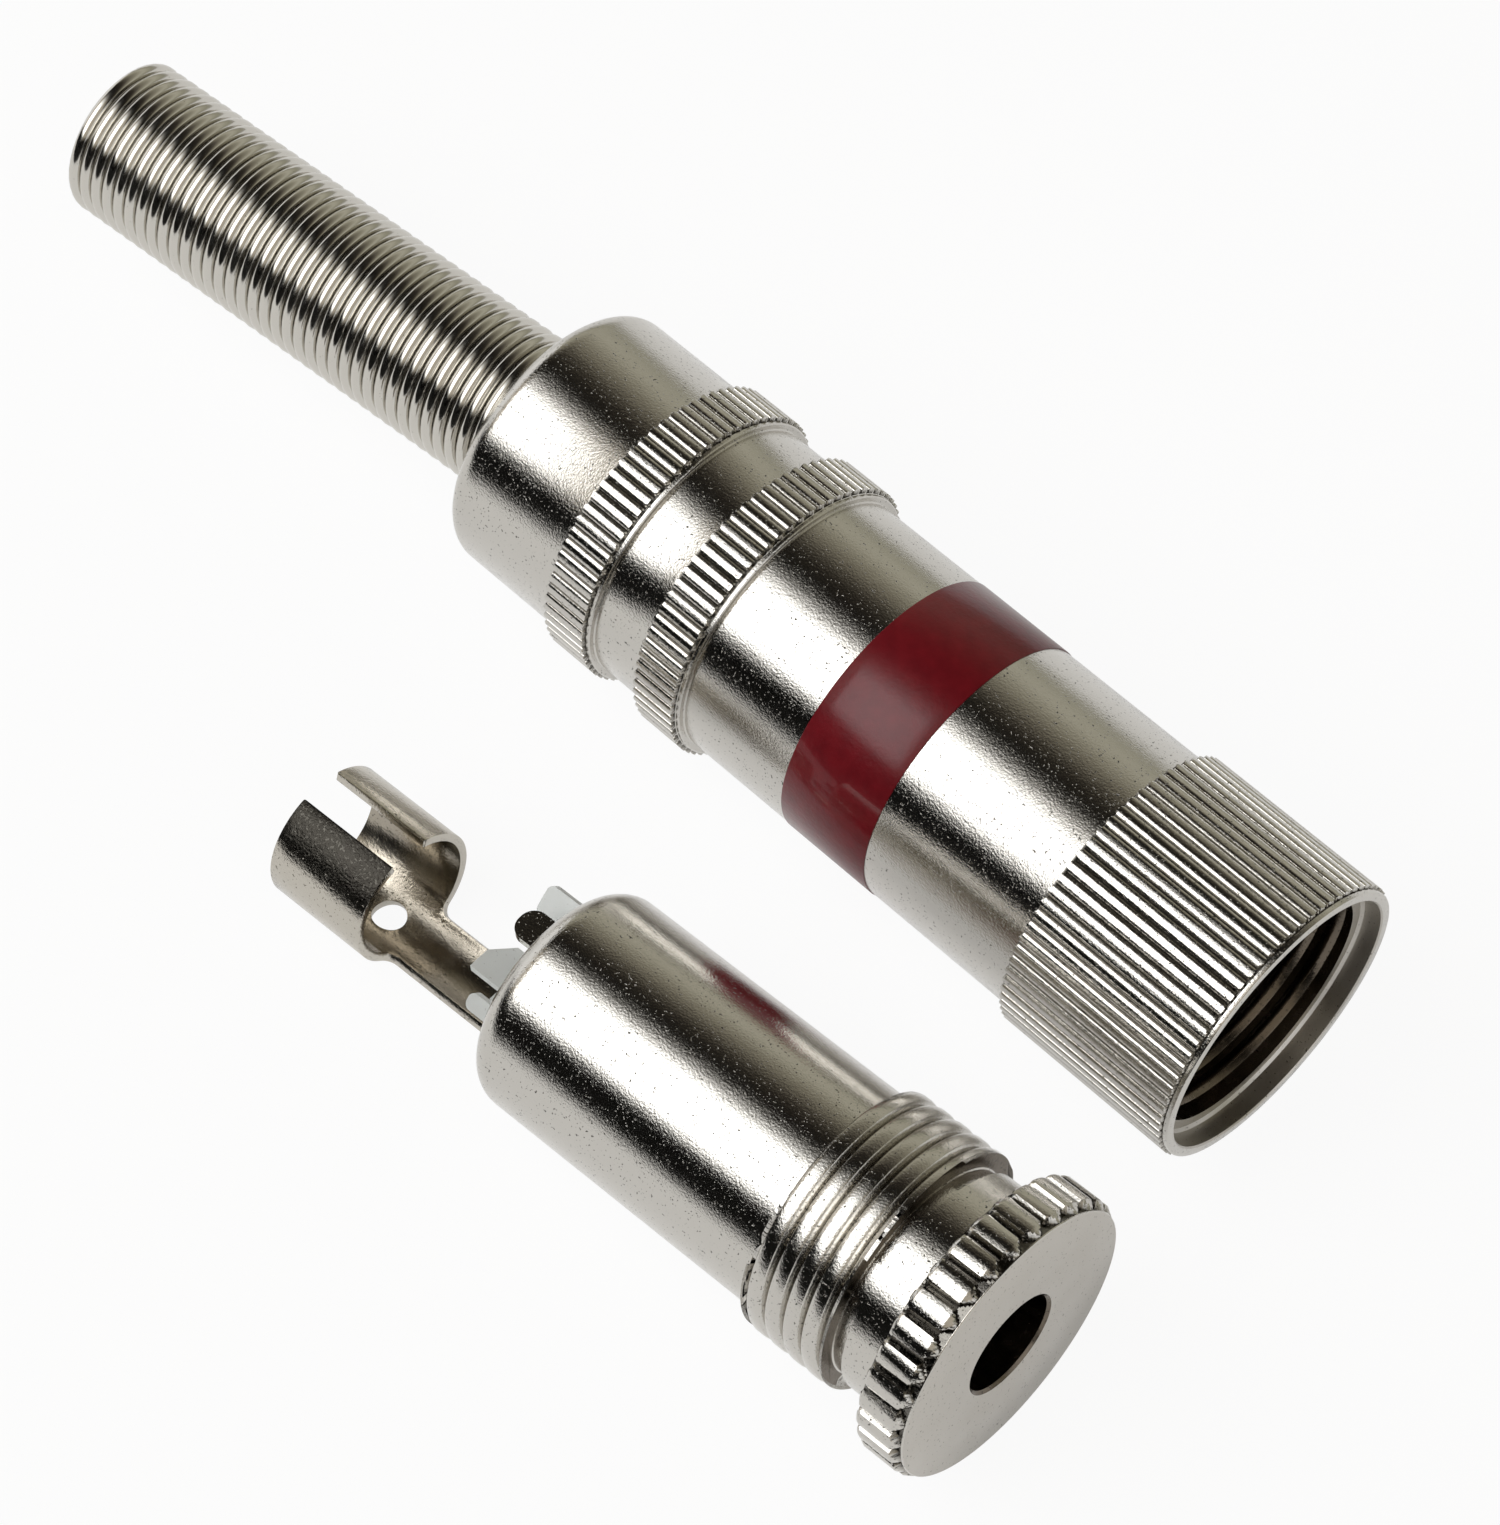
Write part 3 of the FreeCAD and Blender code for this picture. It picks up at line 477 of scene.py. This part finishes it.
# Shell: mouth, knurled grip, barrel, two knurled rings, rounded rear; then back along the inside
shellSizes = {
    "columns": 700, "threadSteps": 96, "teeth": 70, "toothDepth": 0.17, "toothGap": 0.02, "edge": 0.04,
    "bar": {"half": 0.44, "flank": 0.06, "frontRound": 0.16, "rearRound": 0.16, "taper": 3,
            "crown": 0.42, "crownCurve": 4},
    "footEnds": [(0.03, 0.02), (0.08, 0.0)],    # past a knurled stretch, and over the barrel
    "mouthRadius": 4.92, "mouthBevel": 0.05, "rimRadius": 5.30, "rimWidth": 0.17,
    "gripStart": 0.20, "gripEnd": 7.10, "gripRadius": 5.40,
    "barrelRadius": 5.05,
    "rings": [(21.60, 23.59, 5.469), (25.81, 27.84, 5.43)], "lipWidth": 0.18, "lipRadius": 5.29,
    "length": 33.13, "shoulderRound": 0.83, "rearWall": 1.60, "springHole": 3.21, "holeBevel": 0.10,
    "cavityRadius": 4.20, "threadEnd": 5.70, "threadRunOut": 0.10,
    "mouthDepth": 0.80, "mouthCorner": [(0.0, 0.12), (0.10, 0.02)],    # before its floor, and inwards
    "threadRoot": 4.44, "threadCrest": 4.30, "threadPitch": 0.75, "threadLead": 0.38,
    "ridgeFoot": 0.30, "ridgeTop": 0.13, "ridgeSoft": 0.03,
    "insideUpTo": 4.85, "landUpTo": 4.96,    # radii that the dull finish with painted shade and the satin finish reach
    "shoulderSteps": 10, "smoothUnder": 34,
}
hair = 0.01  # millimetres by which a point is kept off its neighbour, or a limit past its face


def knurledStretch(start, end, radius, sides=(0.0, 0.03, 0.08, 0.15)):
    # rings of points close together near both ends, where the bars narrow
    return [(start + s, radius) for s in sides] + [(end - s, radius) for s in reversed(sides)]


def makeShell(s):
    edge, gap, barrel = s["edge"], s["toothGap"], s["barrelRadius"]

    def footUnder(crest):
        return crest - s["toothDepth"]

    def downToBarrel(station):
        return [(station + past, barrel + over) for past, over in s["footEnds"]]

    mouth, rim = s["mouthRadius"], s["rimRadius"]
    outline = [
        (s["mouthBevel"], mouth), (0.0, mouth + s["mouthBevel"]),
        (0.0, rim - edge), (edge / 3, rim - edge / 3), (edge, rim), (s["rimWidth"], rim),
        (s["rimWidth"] + gap, footUnder(s["gripRadius"]) + hair)]
    outline += knurledStretch(s["gripStart"], s["gripEnd"], s["gripRadius"])
    outline += downToBarrel(s["gripEnd"])
    for start, end, radius in s["rings"]:
        lip, lipRadius = start + s["lipWidth"], s["lipRadius"]
        outline += [
            (start - edge - hair, barrel), (start, barrel + edge), (start, lipRadius - edge),
            (start + edge, lipRadius), (lip - edge, lipRadius), (lip - gap, footUnder(radius) + hair)]
        outline += knurledStretch(lip, end, radius)
        outline += downToBarrel(end)
    rear, shoulder, hole = s["length"], s["shoulderRound"], s["springHole"]
    outline += roundTurn((rear - shoulder, barrel), (rear, barrel), (rear, barrel - shoulder),
                         s["shoulderSteps"])
    outline += [
        (rear, hole + s["holeBevel"]), (rear - s["holeBevel"], hole),
        (rear - s["rearWall"], hole), (rear - s["rearWall"], s["cavityRadius"]),
        (s["threadEnd"], s["cavityRadius"]), (s["threadEnd"] - s["threadRunOut"], s["threadRoot"]),
        (s["mouthDepth"], s["threadRoot"])]
    outline += [(s["mouthDepth"] - before, mouth - inwards) for before, inwards in s["mouthCorner"]]
    outline.append((s["mouthBevel"], mouth))
    shell = turn("shellBody", s["columns"], outline)
    pressTeeth(shell, s["teeth"], footUnder(s["gripRadius"]), s["gripStart"], s["gripEnd"], s["bar"])
    for start, end, radius in s["rings"]:
        pressTeeth(shell, s["teeth"], footUnder(radius), start + s["lipWidth"], end, s["bar"])
    crest = s["threadCrest"]
    foot, soft = s["threadRoot"] + s["ridgeSoft"], crest + s["ridgeSoft"]
    ridge = [(-s["ridgeFoot"], foot), (s["ridgeFoot"], foot),
             (s["ridgeTop"], soft), (0.0, crest), (-s["ridgeTop"], soft)]
    turns = int((s["threadEnd"] - s["mouthDepth"]) / s["threadPitch"]) - 1
    thread = helix("insideThread", ridge, s["threadPitch"], turns, s["threadSteps"],
                   s["mouthDepth"] + s["threadLead"])
    joinInto(shell, thread)
    inside, land = 1, 2
    wallFront = rear - s["rearWall"] + hair
    # painted shade: the dull, dark finish covers the inside past the mouth's land
    paintFaces(shell, inside, lambda station, radius, _: (
        (station > s["mouthDepth"]) & (station < wallFront) & (radius < s["insideUpTo"])))
    paintFaces(shell, land, lambda station, radius, _: (
        (station < s["mouthDepth"] + hair) & (radius < s["landUpTo"])))
    smooth(shell, s["smoothUnder"])
    lie(shell, shellFrame)
    return shell


shellBody = makeShell(shellSizes)
useMaterial(shellBody, turnedNickel, boreNickelPaintedShade, faceNickel)
standFor(shellBody, "shell_body")
print("shell made:", len(shellBody.data.polygons), "faces")

# Marking band: a film of lacquer round the barrel
bandSizes = {
    "columns": 280, "start": 13.38, "end": 17.10, "radius": 5.08, "bed": 5.05, "softShare": 0.6,
    "smoothUnder": 40,
}


def makeBand(s):
    start, end, top = s["start"], s["end"], s["radius"]
    soft = (top - s["bed"]) * s["softShare"]
    outline = [(start, s["bed"]), (start + soft / 3, top - soft / 3), (start + soft, top)]
    outline += [(end - soft, top), (end - soft / 3, top - soft / 3), (end, s["bed"]), (start, s["bed"])]
    band = turn("markingBand", s["columns"], outline)
    smooth(band, s["smoothUnder"])
    lie(band, shellFrame)
    return band


markingBand = makeBand(bandSizes)
useMaterial(markingBand, redLacquer)
standFor(markingBand, "marking_band")

# Strain spring: close-coiled wire with a wider end coil that the rear wall holds
springSizes = {
    "wire": 0.50, "radius": 2.95, "pitch": 0.543, "turns": 42, "steps": 44, "wireStep": 24,
    "collarRadius": 3.60, "collarWire": 0.7,    # the wider coil's share of the wire's width
    "collarSteps": (72, 12), "smoothUnder": 50,
}


def makeSpring(s):
    half = s["wire"] / 2
    turnsOfWire = [math.radians(a) for a in range(0, 360, s["wireStep"])]
    section = [(half * math.cos(a), s["radius"] - half + half * math.sin(a)) for a in turnsOfWire]
    spring = helix("strainSpring", section, s["pitch"], s["turns"] - 1, s["steps"], half + hair)
    # the wire's end lies underneath
    spring.data.transform(turnAboutX(180))
    collarHalf = half * mm * s["collarWire"]
    around, across = s["collarSteps"]
    bpy.ops.mesh.primitive_torus_add(
        major_radius=(s["collarRadius"] - half) * mm, minor_radius=collarHalf,
        major_segments=around, minor_segments=across, location=(collarHalf, 0, 0),
        rotation=(0, math.pi / 2, 0))
    collar = bpy.context.object
    bpy.ops.object.transform_apply(location=True, rotation=True, scale=True)
    joinInto(spring, collar)
    smooth(spring, s["smoothUnder"])
    lie(spring, springFrame)
    return spring


strainSpring = makeSpring(springSizes)
useMaterial(strainSpring, springNickel)
standFor(strainSpring, "strain_spring")
print("band and spring made:", len(strainSpring.data.polygons), "faces")

# Socket housing: toothed flange, neck, outside thread and barrel rolled over at the rear
housingSizes = {
    "columns": 640, "threadSteps": 96, "teeth": 32, "toothDepth": 0.30, "toothFront": 0.30,
    "bar": {"half": 0.41, "flank": 0.07, "frontRound": 0.46, "rearRound": 0.14, "taper": 1.3,
            "crown": 0.26, "crownCurve": 2},
    "boreRadius": 1.80, "boreBevel": 0.10, "rimRadius": 4.98, "rimWidth": 0.06,
    "rimEdge": [(0.0, 0.04), (0.012, 0.012), (0.04, 0.0)],    # behind the face, and under the rim
    "flangeRadius": 5.19, "flangeEnd": 1.81, "flangeSteps": (0.0, 0.3, 0.6, 0.9),
    "flangeFront": [(0.0, 0.004), (0.05, 0.0)],               # behind the tooth's tip, and under
    "flangeRear": [(0.22, 0.0), (0.10, 0.05), (0.02, 0.15)],  # before its end, and under its radius
    "neckEnd": 3.30, "neckRadius": 4.05, "neckRound": 0.05, "slope": 0.08,
    "reliefEnd": 3.80, "reliefRadius": 3.85, "threadEnd": 7.10, "threadRoot": 3.98,
    "threadCrest": 4.47, "threadPitch": 0.75, "threadTrim": (0.03, 0.02),
    "ridgeSide": [(0.374, 0.26), (0.31, 0.12), (0.24, 0.035), (0.13, 0.0)],    # half width, and drop
    "ridgeFoot": 0.03,
    "barrelRadius": 4.06, "end": 19.51, "rearRound": 1.05,
    "lipRadius": 2.95, "lipThickness": 0.45, "lipEdge": 0.04,
    "insideRadius": 3.60, "insideBevel": 0.30, "floorAt": 8.00,
    "faceFrom": 1.86, "insideUpTo": 3.70, "insideEnd": 19.0,    # limits of the satin finish and of the dull finish with painted shade
    "rearSteps": 10, "smoothUnder": 30,
}


def makeHousing(s):
    flange, rim, barrel, end = s["flangeRadius"], s["rimRadius"], s["barrelRadius"], s["end"]
    foot, flangeEnd, slope = flange - s["toothDepth"], s["flangeEnd"], s["slope"]
    tip = s["rimWidth"] + s["toothFront"]
    outline = [(s["boreBevel"], s["boreRadius"]), (0.0, s["boreRadius"] + s["boreBevel"])]
    outline += [(behind, rim - under) for behind, under in s["rimEdge"]]
    outline.append((s["rimWidth"] - hair, rim))
    rise = flange - rim - hair
    for share in s["flangeSteps"]:
        outline.append((s["rimWidth"] + share * s["toothFront"], rim + hair + share * rise))
    outline += [(tip + behind, flange - under) for behind, under in s["flangeFront"]]
    outline += [(flangeEnd - before, flange - under) for before, under in s["flangeRear"]]
    outline += [
        (flangeEnd, foot), (flangeEnd, s["neckRadius"] + s["neckRound"]),
        (flangeEnd + s["neckRound"], s["neckRadius"]), (s["neckEnd"], s["neckRadius"]),
        (s["neckEnd"] + slope, s["reliefRadius"]), (s["reliefEnd"], s["reliefRadius"]),
        (s["reliefEnd"] + slope, s["threadRoot"]), (s["threadEnd"], s["threadRoot"]),
        (s["threadEnd"] + slope, barrel)]
    bend = s["rearRound"]
    outline += roundTurn((end - bend, barrel), (end, barrel), (end, barrel - bend), s["rearSteps"])
    lipBack, bevel = end - s["lipThickness"], s["insideBevel"]
    outline += [
        (end, s["lipRadius"] + s["lipEdge"]), (end - s["lipEdge"], s["lipRadius"]),
        (lipBack, s["lipRadius"]), (lipBack, s["insideRadius"] - bevel),
        (lipBack - bevel, s["insideRadius"]), (s["floorAt"], s["insideRadius"]),
        (s["floorAt"], s["boreRadius"]), (s["boreBevel"], s["boreRadius"])]
    housing = turn("socketHousing", s["columns"], outline)
    pressTeeth(housing, s["teeth"], foot, s["rimWidth"], flangeEnd + 2 * hair, s["bar"])
    root, crest = s["threadRoot"], s["threadCrest"]
    side = [(s["ridgeSide"][0][0], root - s["ridgeFoot"])]
    side += [(half, crest - drop) for half, drop in s["ridgeSide"]]
    ridge = [(-x, r) for x, r in side] + [(0.0, crest)] + list(reversed(side))
    turns = int((s["threadEnd"] - s["reliefEnd"]) / s["threadPitch"]) + 2
    thread = helix("outsideThread", ridge, s["threadPitch"], turns, s["threadSteps"],
                   s["reliefEnd"] - s["threadPitch"])
    frontTrim, rearTrim = s["threadTrim"]
    cutAcross(thread, s["reliefEnd"] + frontTrim, -1)
    cutAcross(thread, s["threadEnd"] - rearTrim, 1)
    joinInto(housing, thread)
    face, inside = 1, 2
    paintFaces(housing, face, lambda station, radius, _: (
        (station < hair / 2) & (radius > s["faceFrom"])))
    # painted shade: the dull, dark finish covers the bore and the cavity
    paintFaces(housing, inside, lambda station, radius, _: (
        (station > 2 * hair) & (station < s["insideEnd"]) & (radius < s["insideUpTo"])))
    smooth(housing, s["smoothUnder"])
    lie(housing, coreFrame)
    return housing


socketHousing = makeHousing(housingSizes)
useMaterial(socketHousing, turnedNickel, faceNickel, boreNickelPaintedShade)
standFor(socketHousing, "socket_housing")
print("housing made:", len(socketHousing.data.polygons), "faces")

# Cable clamp: blanked from flat sheet, then curled round the cable
clampSizes = {
    "thickness": 0.30, "radius": 2.515, "wingSpan": 325.8, "tailSpan": 60.9,    # spans in degrees
    "wingStart": 25.85, "wingEnd": 29.95, "tailStart": 14.55, "shoulder": 0.38, "cornerRound": 0.07,
    "holeAt": 27.10, "holeRadius": 0.62, "strips": 120, "edgeRound": 0.045, "edgeAngle": 60,
    # the near wing's span that gets the painted dark reflection, in degrees from up
    "insideUnder": 0.05, "outsideOver": 0.12, "darkWingAngles": (-163.5, -128),
    "shoulderSteps": 8, "cornerSteps": 3, "holeSteps": 32, "smoothUnder": 35,
}


def drawOutline(name, points):
    # one point drawn on from corner to corner in the X-Z plane, and joined up at its start
    bpy.ops.object.select_all(action="DESELECT")
    bpy.ops.mesh.primitive_plane_add(size=mm)
    piece = bpy.context.object
    piece.name = name
    openMesh(piece)
    bpy.ops.mesh.select_all(action="SELECT")
    bpy.ops.mesh.merge(type="CENTER")
    bpy.ops.transform.translate(value=(points[0][0] * mm, 0, points[0][1] * mm))
    for (fromX, fromZ), (toX, toZ) in zip(points, points[1:]):
        bpy.ops.mesh.extrude_region_move(
            TRANSFORM_OT_translate={"value": ((toX - fromX) * mm, 0, (toZ - fromZ) * mm)})
    bpy.ops.mesh.select_all(action="SELECT")
    return piece


def arcPoints(centre, radius, fromAngle, toAngle, steps):
    points = []
    for k in range(steps + 1):
        angle = math.radians(fromAngle + (toAngle - fromAngle) * k / steps)
        points.append((centre[0] + radius * math.cos(angle), centre[1] + radius * math.sin(angle)))
    return points


def makeClamp(s):
    middle = s["radius"] - s["thickness"] / 2
    wing = math.radians(s["wingSpan"]) * middle / 2
    tail = math.radians(s["tailSpan"]) * middle / 2
    start, end, bend, corner = s["wingStart"], s["wingEnd"], s["shoulder"], s["cornerRound"]
    half = [(s["tailStart"], tail)]
    half += arcPoints((start - bend, tail + bend), bend, -90, 0, s["shoulderSteps"])
    half += arcPoints((start + corner, wing - corner), corner, 180, 90, s["cornerSteps"])
    half += arcPoints((end - corner, wing - corner), corner, 90, 0, s["cornerSteps"])
    outline = half + [(x, -z) for x, z in reversed(half)]
    clamp = drawOutline("cableClamp", outline + [outline[0]])
    closeMesh()
    hole = drawOutline("strapHole", arcPoints(
        (s["holeAt"], 0), s["holeRadius"], 0, 360, s["holeSteps"]))
    closeMesh()
    joinInto(clamp, hole)
    openMesh(clamp)
    bpy.ops.mesh.select_all(action="SELECT")
    bpy.ops.mesh.remove_doubles(threshold=tiny)
    bpy.ops.mesh.fill(use_beauty=True)
    for k in range(1, s["strips"]):
        level = (-wing + 2 * wing * k / s["strips"]) * mm
        bpy.ops.mesh.select_all(action="SELECT")
        bpy.ops.mesh.bisect(plane_co=(0, 0, level), plane_no=(0, 0, 1))
    bpy.ops.mesh.select_all(action="SELECT")
    bpy.ops.mesh.normals_make_consistent(inside=False)
    closeMesh()
    sheet = clamp.modifiers.new("sheet", "SOLIDIFY")
    sheet.thickness = s["thickness"] * mm
    sheet.offset = 0
    edge = clamp.modifiers.new("edge", "BEVEL")
    edge.width = s["edgeRound"] * mm
    edge.segments = 2
    edge.limit_method = "ANGLE"
    edge.angle_limit = math.radians(s["edgeAngle"])
    curl = clamp.modifiers.new("curl", "SIMPLE_DEFORM")
    curl.deform_method = "BEND"
    curl.deform_axis = "X"
    curl.angle = math.radians(s["wingSpan"])
    bpy.context.view_layer.objects.active = clamp
    for name in ("sheet", "edge", "curl"):
        bpy.ops.object.modifier_apply(modifier=name)
    # the strip curls about a line beside it: that line is brought to the axis, the strap's middle up
    points = pointsOf(clamp)
    nearMiddle = 0.2 * mm
    strap = points[np.abs(points[:, 2]) < nearMiddle]
    side = 1 if strap[:, 1].mean() < points[:, 1].mean() else -1
    clamp.data.transform(Matrix.Translation((0, -side * middle * mm, 0)))
    clamp.data.transform(turnAboutX(-90 * side))
    freshNormals(clamp)
    inner, pitsAndPaintedShade = 1, 2
    darkWingFrom, darkWingTo = s["darkWingAngles"]
    innerLimit, outerLimit = middle - s["insideUnder"], middle + s["outsideOver"]
    # painted shade, with the thinner plate: the inside of the curl gets the duller, darker sheet
    paintFaces(clamp, inner, lambda _, radius, __: radius < innerLimit)
    # painted dark reflection: the outside of the near wing, between these angles, gets the dark sheet
    paintFaces(clamp, pitsAndPaintedShade, lambda station, radius, angle: (
        (station > start) & (radius > outerLimit) & (angle > darkWingFrom) & (angle < darkWingTo)))
    smooth(clamp, s["smoothUnder"])
    lie(clamp, clampFrame)
    return clamp


cableClamp = makeClamp(clampSizes)
useMaterial(cableClamp, sheetNickel, curlNickelPaintedShade, nearWingPaintedReflection)
standFor(cableClamp, "cable_clamp")
print("clamp made:", len(cableClamp.data.polygons), "faces")

# Pieces whose solids already have the right shape
for nodeName, material in (
        ("contact_carrier", blackAbs), ("rear_disc", blackAbs), ("insulating_sleeve", sleeveFilm),
        ("tip_contact", turnedNickel), ("ring_contact", tinnedSheet),
        ("sleeve_contact", tinnedSheet), ("earthing_tab", tinnedSheet)):
    useMaterial(frame["nodes"][nodeName], material)

# Stage: a pale floor under a half-drum light tent, with a low black card on the near side
stageSizes = {
    "floor": 6.0, "tentRadius": 0.35, "tentLength": 1.2,    # metres, as all of the stage
    "cardAt": -0.064, "cardHeight": 0.027, "cardLength": 0.5,
    "floorSeen": 0.93, "floorMirrored": 0.50,               # shares of plain white
    "boxMiddle": -0.14, "boxHalf": 0.15, "boxFade": 0.03, "boxSpan": (0, 60),    # span in degrees
    "besideBox": "#c6beb0", "besideSpan": (6, 54), "roomLight": 0.25,
}
# brightness of the tent by the angle from straight up, in degrees towards the near side
tentLevels = [
    (-90, "#aeaca6", 1.0), (-81, "#9e9c8b", 1.0), (-66, "#bfbcad", 1.0), (-53, "#999585", 1.0),
    (-44, "#817c6e", 1.0), (-36, "#5c574e", 1.0), (-29, "#38342d", 1.0), (-14, "#161513", 1.0),
    (-6, "#2b2a28", 1.0), (1, "#a6a4a0", 1.0), (6, "#f4f4f2", 1.0), (12, "#ffffff", 2.0),
    (18, "#ffffff", 3.4), (48, "#ffffff", 3.4), (54, "#ffffff", 2.0), (58, "#a0a09c", 1.0),
    (62, "#191713", 1.0), (65, "#040404", 1.0), (90, "#040404", 1.0),
]


def lightPathShare(tree, seen, mirrored):
    # the share of plain white that each kind of ray meets: straight from the camera, or by way of metal
    rays = addNode(tree, "ShaderNodeLightPath")
    way = addNode(tree, "ShaderNodeMath", {
        0: rays.outputs["Is Glossy Ray"], 1: rays.outputs["Is Transmission Ray"]}, operation="MAXIMUM")
    straight = addNode(tree, "ShaderNodeMath", {
        0: rays.outputs["Is Camera Ray"], 1: seen}, operation="MULTIPLY")
    byMetal = addNode(tree, "ShaderNodeMath", {
        0: way.outputs["Value"], 1: mirrored}, operation="MULTIPLY")
    either = addNode(tree, "ShaderNodeMath", {
        0: straight.outputs["Value"], 1: byMetal.outputs["Value"]}, operation="MAXIMUM")
    return either.outputs["Value"]


def makeFloor(s):
    bpy.ops.mesh.primitive_plane_add(size=s["floor"])
    floor = bpy.context.object
    floor.name = "floor"
    material, tree, shader = newMaterial("whitePaperSweep")
    shader.inputs["Base Color"].default_value = linear("#f4f4f4")
    shader.inputs["Roughness"].default_value = 0.9
    shader.inputs["Specular IOR Level"].default_value = 0.0
    glow = addNode(tree, "ShaderNodeEmission", {"Color": (1, 1, 1, 1), "Strength": 1.0})
    mixed = addNode(tree, "ShaderNodeMixShader", {
        0: lightPathShare(tree, s["floorSeen"], s["floorMirrored"]),
        1: shader.outputs["BSDF"], 2: glow.outputs["Emission"]})
    tree.links.new(mixed.outputs["Shader"], tree.nodes["Material Output"].inputs["Surface"])
    useMaterial(floor, material)


def makeTent(s):
    bpy.ops.mesh.primitive_cylinder_add(
        vertices=180, radius=s["tentRadius"], depth=s["tentLength"], end_fill_type="NOTHING",
        rotation=(0, math.pi / 2, 0))
    tent = bpy.context.object
    tent.name = "lightTent"
    bpy.ops.object.transform_apply(rotation=True)
    openMesh(tent)
    bpy.ops.mesh.select_all(action="SELECT")
    bpy.ops.mesh.bisect(plane_co=(0, 0, 0), plane_no=(0, 0, 1), clear_inner=True)
    bpy.ops.mesh.select_all(action="SELECT")
    bpy.ops.mesh.flip_normals()
    closeMesh()
    material, tree, shader = newMaterial("litTentCloth")
    place = addNode(tree, "ShaderNodeTexCoord").outputs["Object"]
    parts = addNode(tree, "ShaderNodeSeparateXYZ", {"Vector": place})
    near = addNode(tree, "ShaderNodeMath", {0: parts.outputs["Y"], 1: -1.0}, operation="MULTIPLY")
    angle = addNode(tree, "ShaderNodeMath", {
        0: near.outputs["Value"], 1: parts.outputs["Z"]}, operation="ARCTAN2")
    share = addNode(tree, "ShaderNodeMapRange", {
        "Value": angle.outputs["Value"], "From Min": -math.pi / 2, "From Max": math.pi / 2})
    brightest = max(level for _, _, level in tentLevels)
    # past the lamp's box along X, coils and thread flanks see bare cloth
    boxFrom, boxTo = s["boxSpan"]
    bare = [row for row in tentLevels if row[0] < boxFrom or row[0] > boxTo]
    bare += [(degrees, s["besideBox"], 1.0) for degrees in s["besideSpan"]]
    ramps = [addNode(tree, "ShaderNodeValToRGB", {"Fac": share.outputs["Result"]}, [
        ((degrees + 90) / 180, [c * level / brightest for c in linear(colour)[:3]] + [1])
        for degrees, colour, level in levels]) for levels in (tentLevels, sorted(bare))]
    along = addNode(tree, "ShaderNodeMath", {
        0: parts.outputs["X"], 1: s["boxMiddle"]}, operation="SUBTRACT")
    away = addNode(tree, "ShaderNodeMath", {0: along.outputs["Value"]}, operation="ABSOLUTE")
    past = addNode(tree, "ShaderNodeMapRange", {
        "Value": away.outputs["Value"],
        "From Min": s["boxHalf"], "From Max": s["boxHalf"] + s["boxFade"]})
    cloth = addNode(tree, "ShaderNodeMix", data_type="RGBA", inputs={
        "Factor": past.outputs["Result"],
        "A": ramps[0].outputs["Color"], "B": ramps[1].outputs["Color"]})
    glow = addNode(tree, "ShaderNodeEmission", {
        "Color": cloth.outputs["Result"], "Strength": brightest})
    tree.links.new(glow.outputs["Emission"], tree.nodes["Material Output"].inputs["Surface"])
    useMaterial(tent, material)
    tent.visible_camera = False


def makeCard(s):
    bpy.ops.mesh.primitive_plane_add(size=1.0, rotation=(math.pi / 2, 0, 0))
    card = bpy.context.object
    card.name = "blackCard"
    card.scale = (s["cardLength"], s["cardHeight"], 1)
    card.location = (0, s["cardAt"], s["cardHeight"] / 2)
    bpy.ops.object.transform_apply(location=True, rotation=True, scale=True)
    material, tree, shader = newMaterial("blackCardboard")
    shader.inputs["Base Color"].default_value = linear("#0c0c0c")
    shader.inputs["Roughness"].default_value = 0.9
    useMaterial(card, material)
    card.visible_camera = False


def makeWorld(s):
    world = bpy.data.worlds.new("paleRoom")
    world.use_nodes = True
    tree = world.node_tree
    tree.nodes.clear()
    seen = lightPathShare(tree, 1.0, 1.0)
    level = addNode(tree, "ShaderNodeMapRange", {
        "Value": seen, "To Min": s["roomLight"], "To Max": 1.0})
    back = addNode(tree, "ShaderNodeBackground", {
        "Color": (1, 1, 1, 1), "Strength": level.outputs["Result"]})
    addNode(tree, "ShaderNodeOutputWorld", {"Surface": back.outputs["Background"]})
    bpy.context.scene.world = world


makeFloor(stageSizes)
makeTent(stageSizes)
makeCard(stageSizes)
makeWorld(stageSizes)
print("stage made")

# Camera: where the photograph was taken from, with its lens
cameraSizes = {
    "place": (0.0667814, -0.0576146, 0.1406126),    # metres
    "azimuth": 44.9234, "elevation": 58.012, "roll": 0.441,    # degrees
    "focalPixels": 4867.4663, "imageWidth": 1500, "sensor": 36.0,    # sensor in millimetres
    "clip": (0.005, 20),
}


def makeCamera(s):
    az, el, roll = (math.radians(s[key]) for key in ("azimuth", "elevation", "roll"))
    look = Vector((-math.sin(az) * math.cos(el), math.cos(az) * math.cos(el), -math.sin(el)))
    right = Vector((math.cos(az), math.sin(az), 0))
    down = look.cross(right)
    rolledRight = math.cos(roll) * right + math.sin(roll) * down
    rolledDown = -math.sin(roll) * right + math.cos(roll) * down
    data = bpy.data.cameras.new("camera")
    data.sensor_fit = "HORIZONTAL"
    data.sensor_width = s["sensor"]
    data.lens = s["focalPixels"] * s["sensor"] / s["imageWidth"]
    data.clip_start, data.clip_end = s["clip"]
    camera = bpy.data.objects.new("camera", data)
    bpy.context.scene.collection.objects.link(camera)
    turned = Matrix((rolledRight, -rolledDown, -look)).transposed().to_4x4()
    camera.matrix_world = Matrix.Translation(s["place"]) @ turned
    bpy.context.scene.camera = camera


makeCamera(cameraSizes)
bpy.context.scene.view_settings.view_transform = "Standard"

print("scene ready")
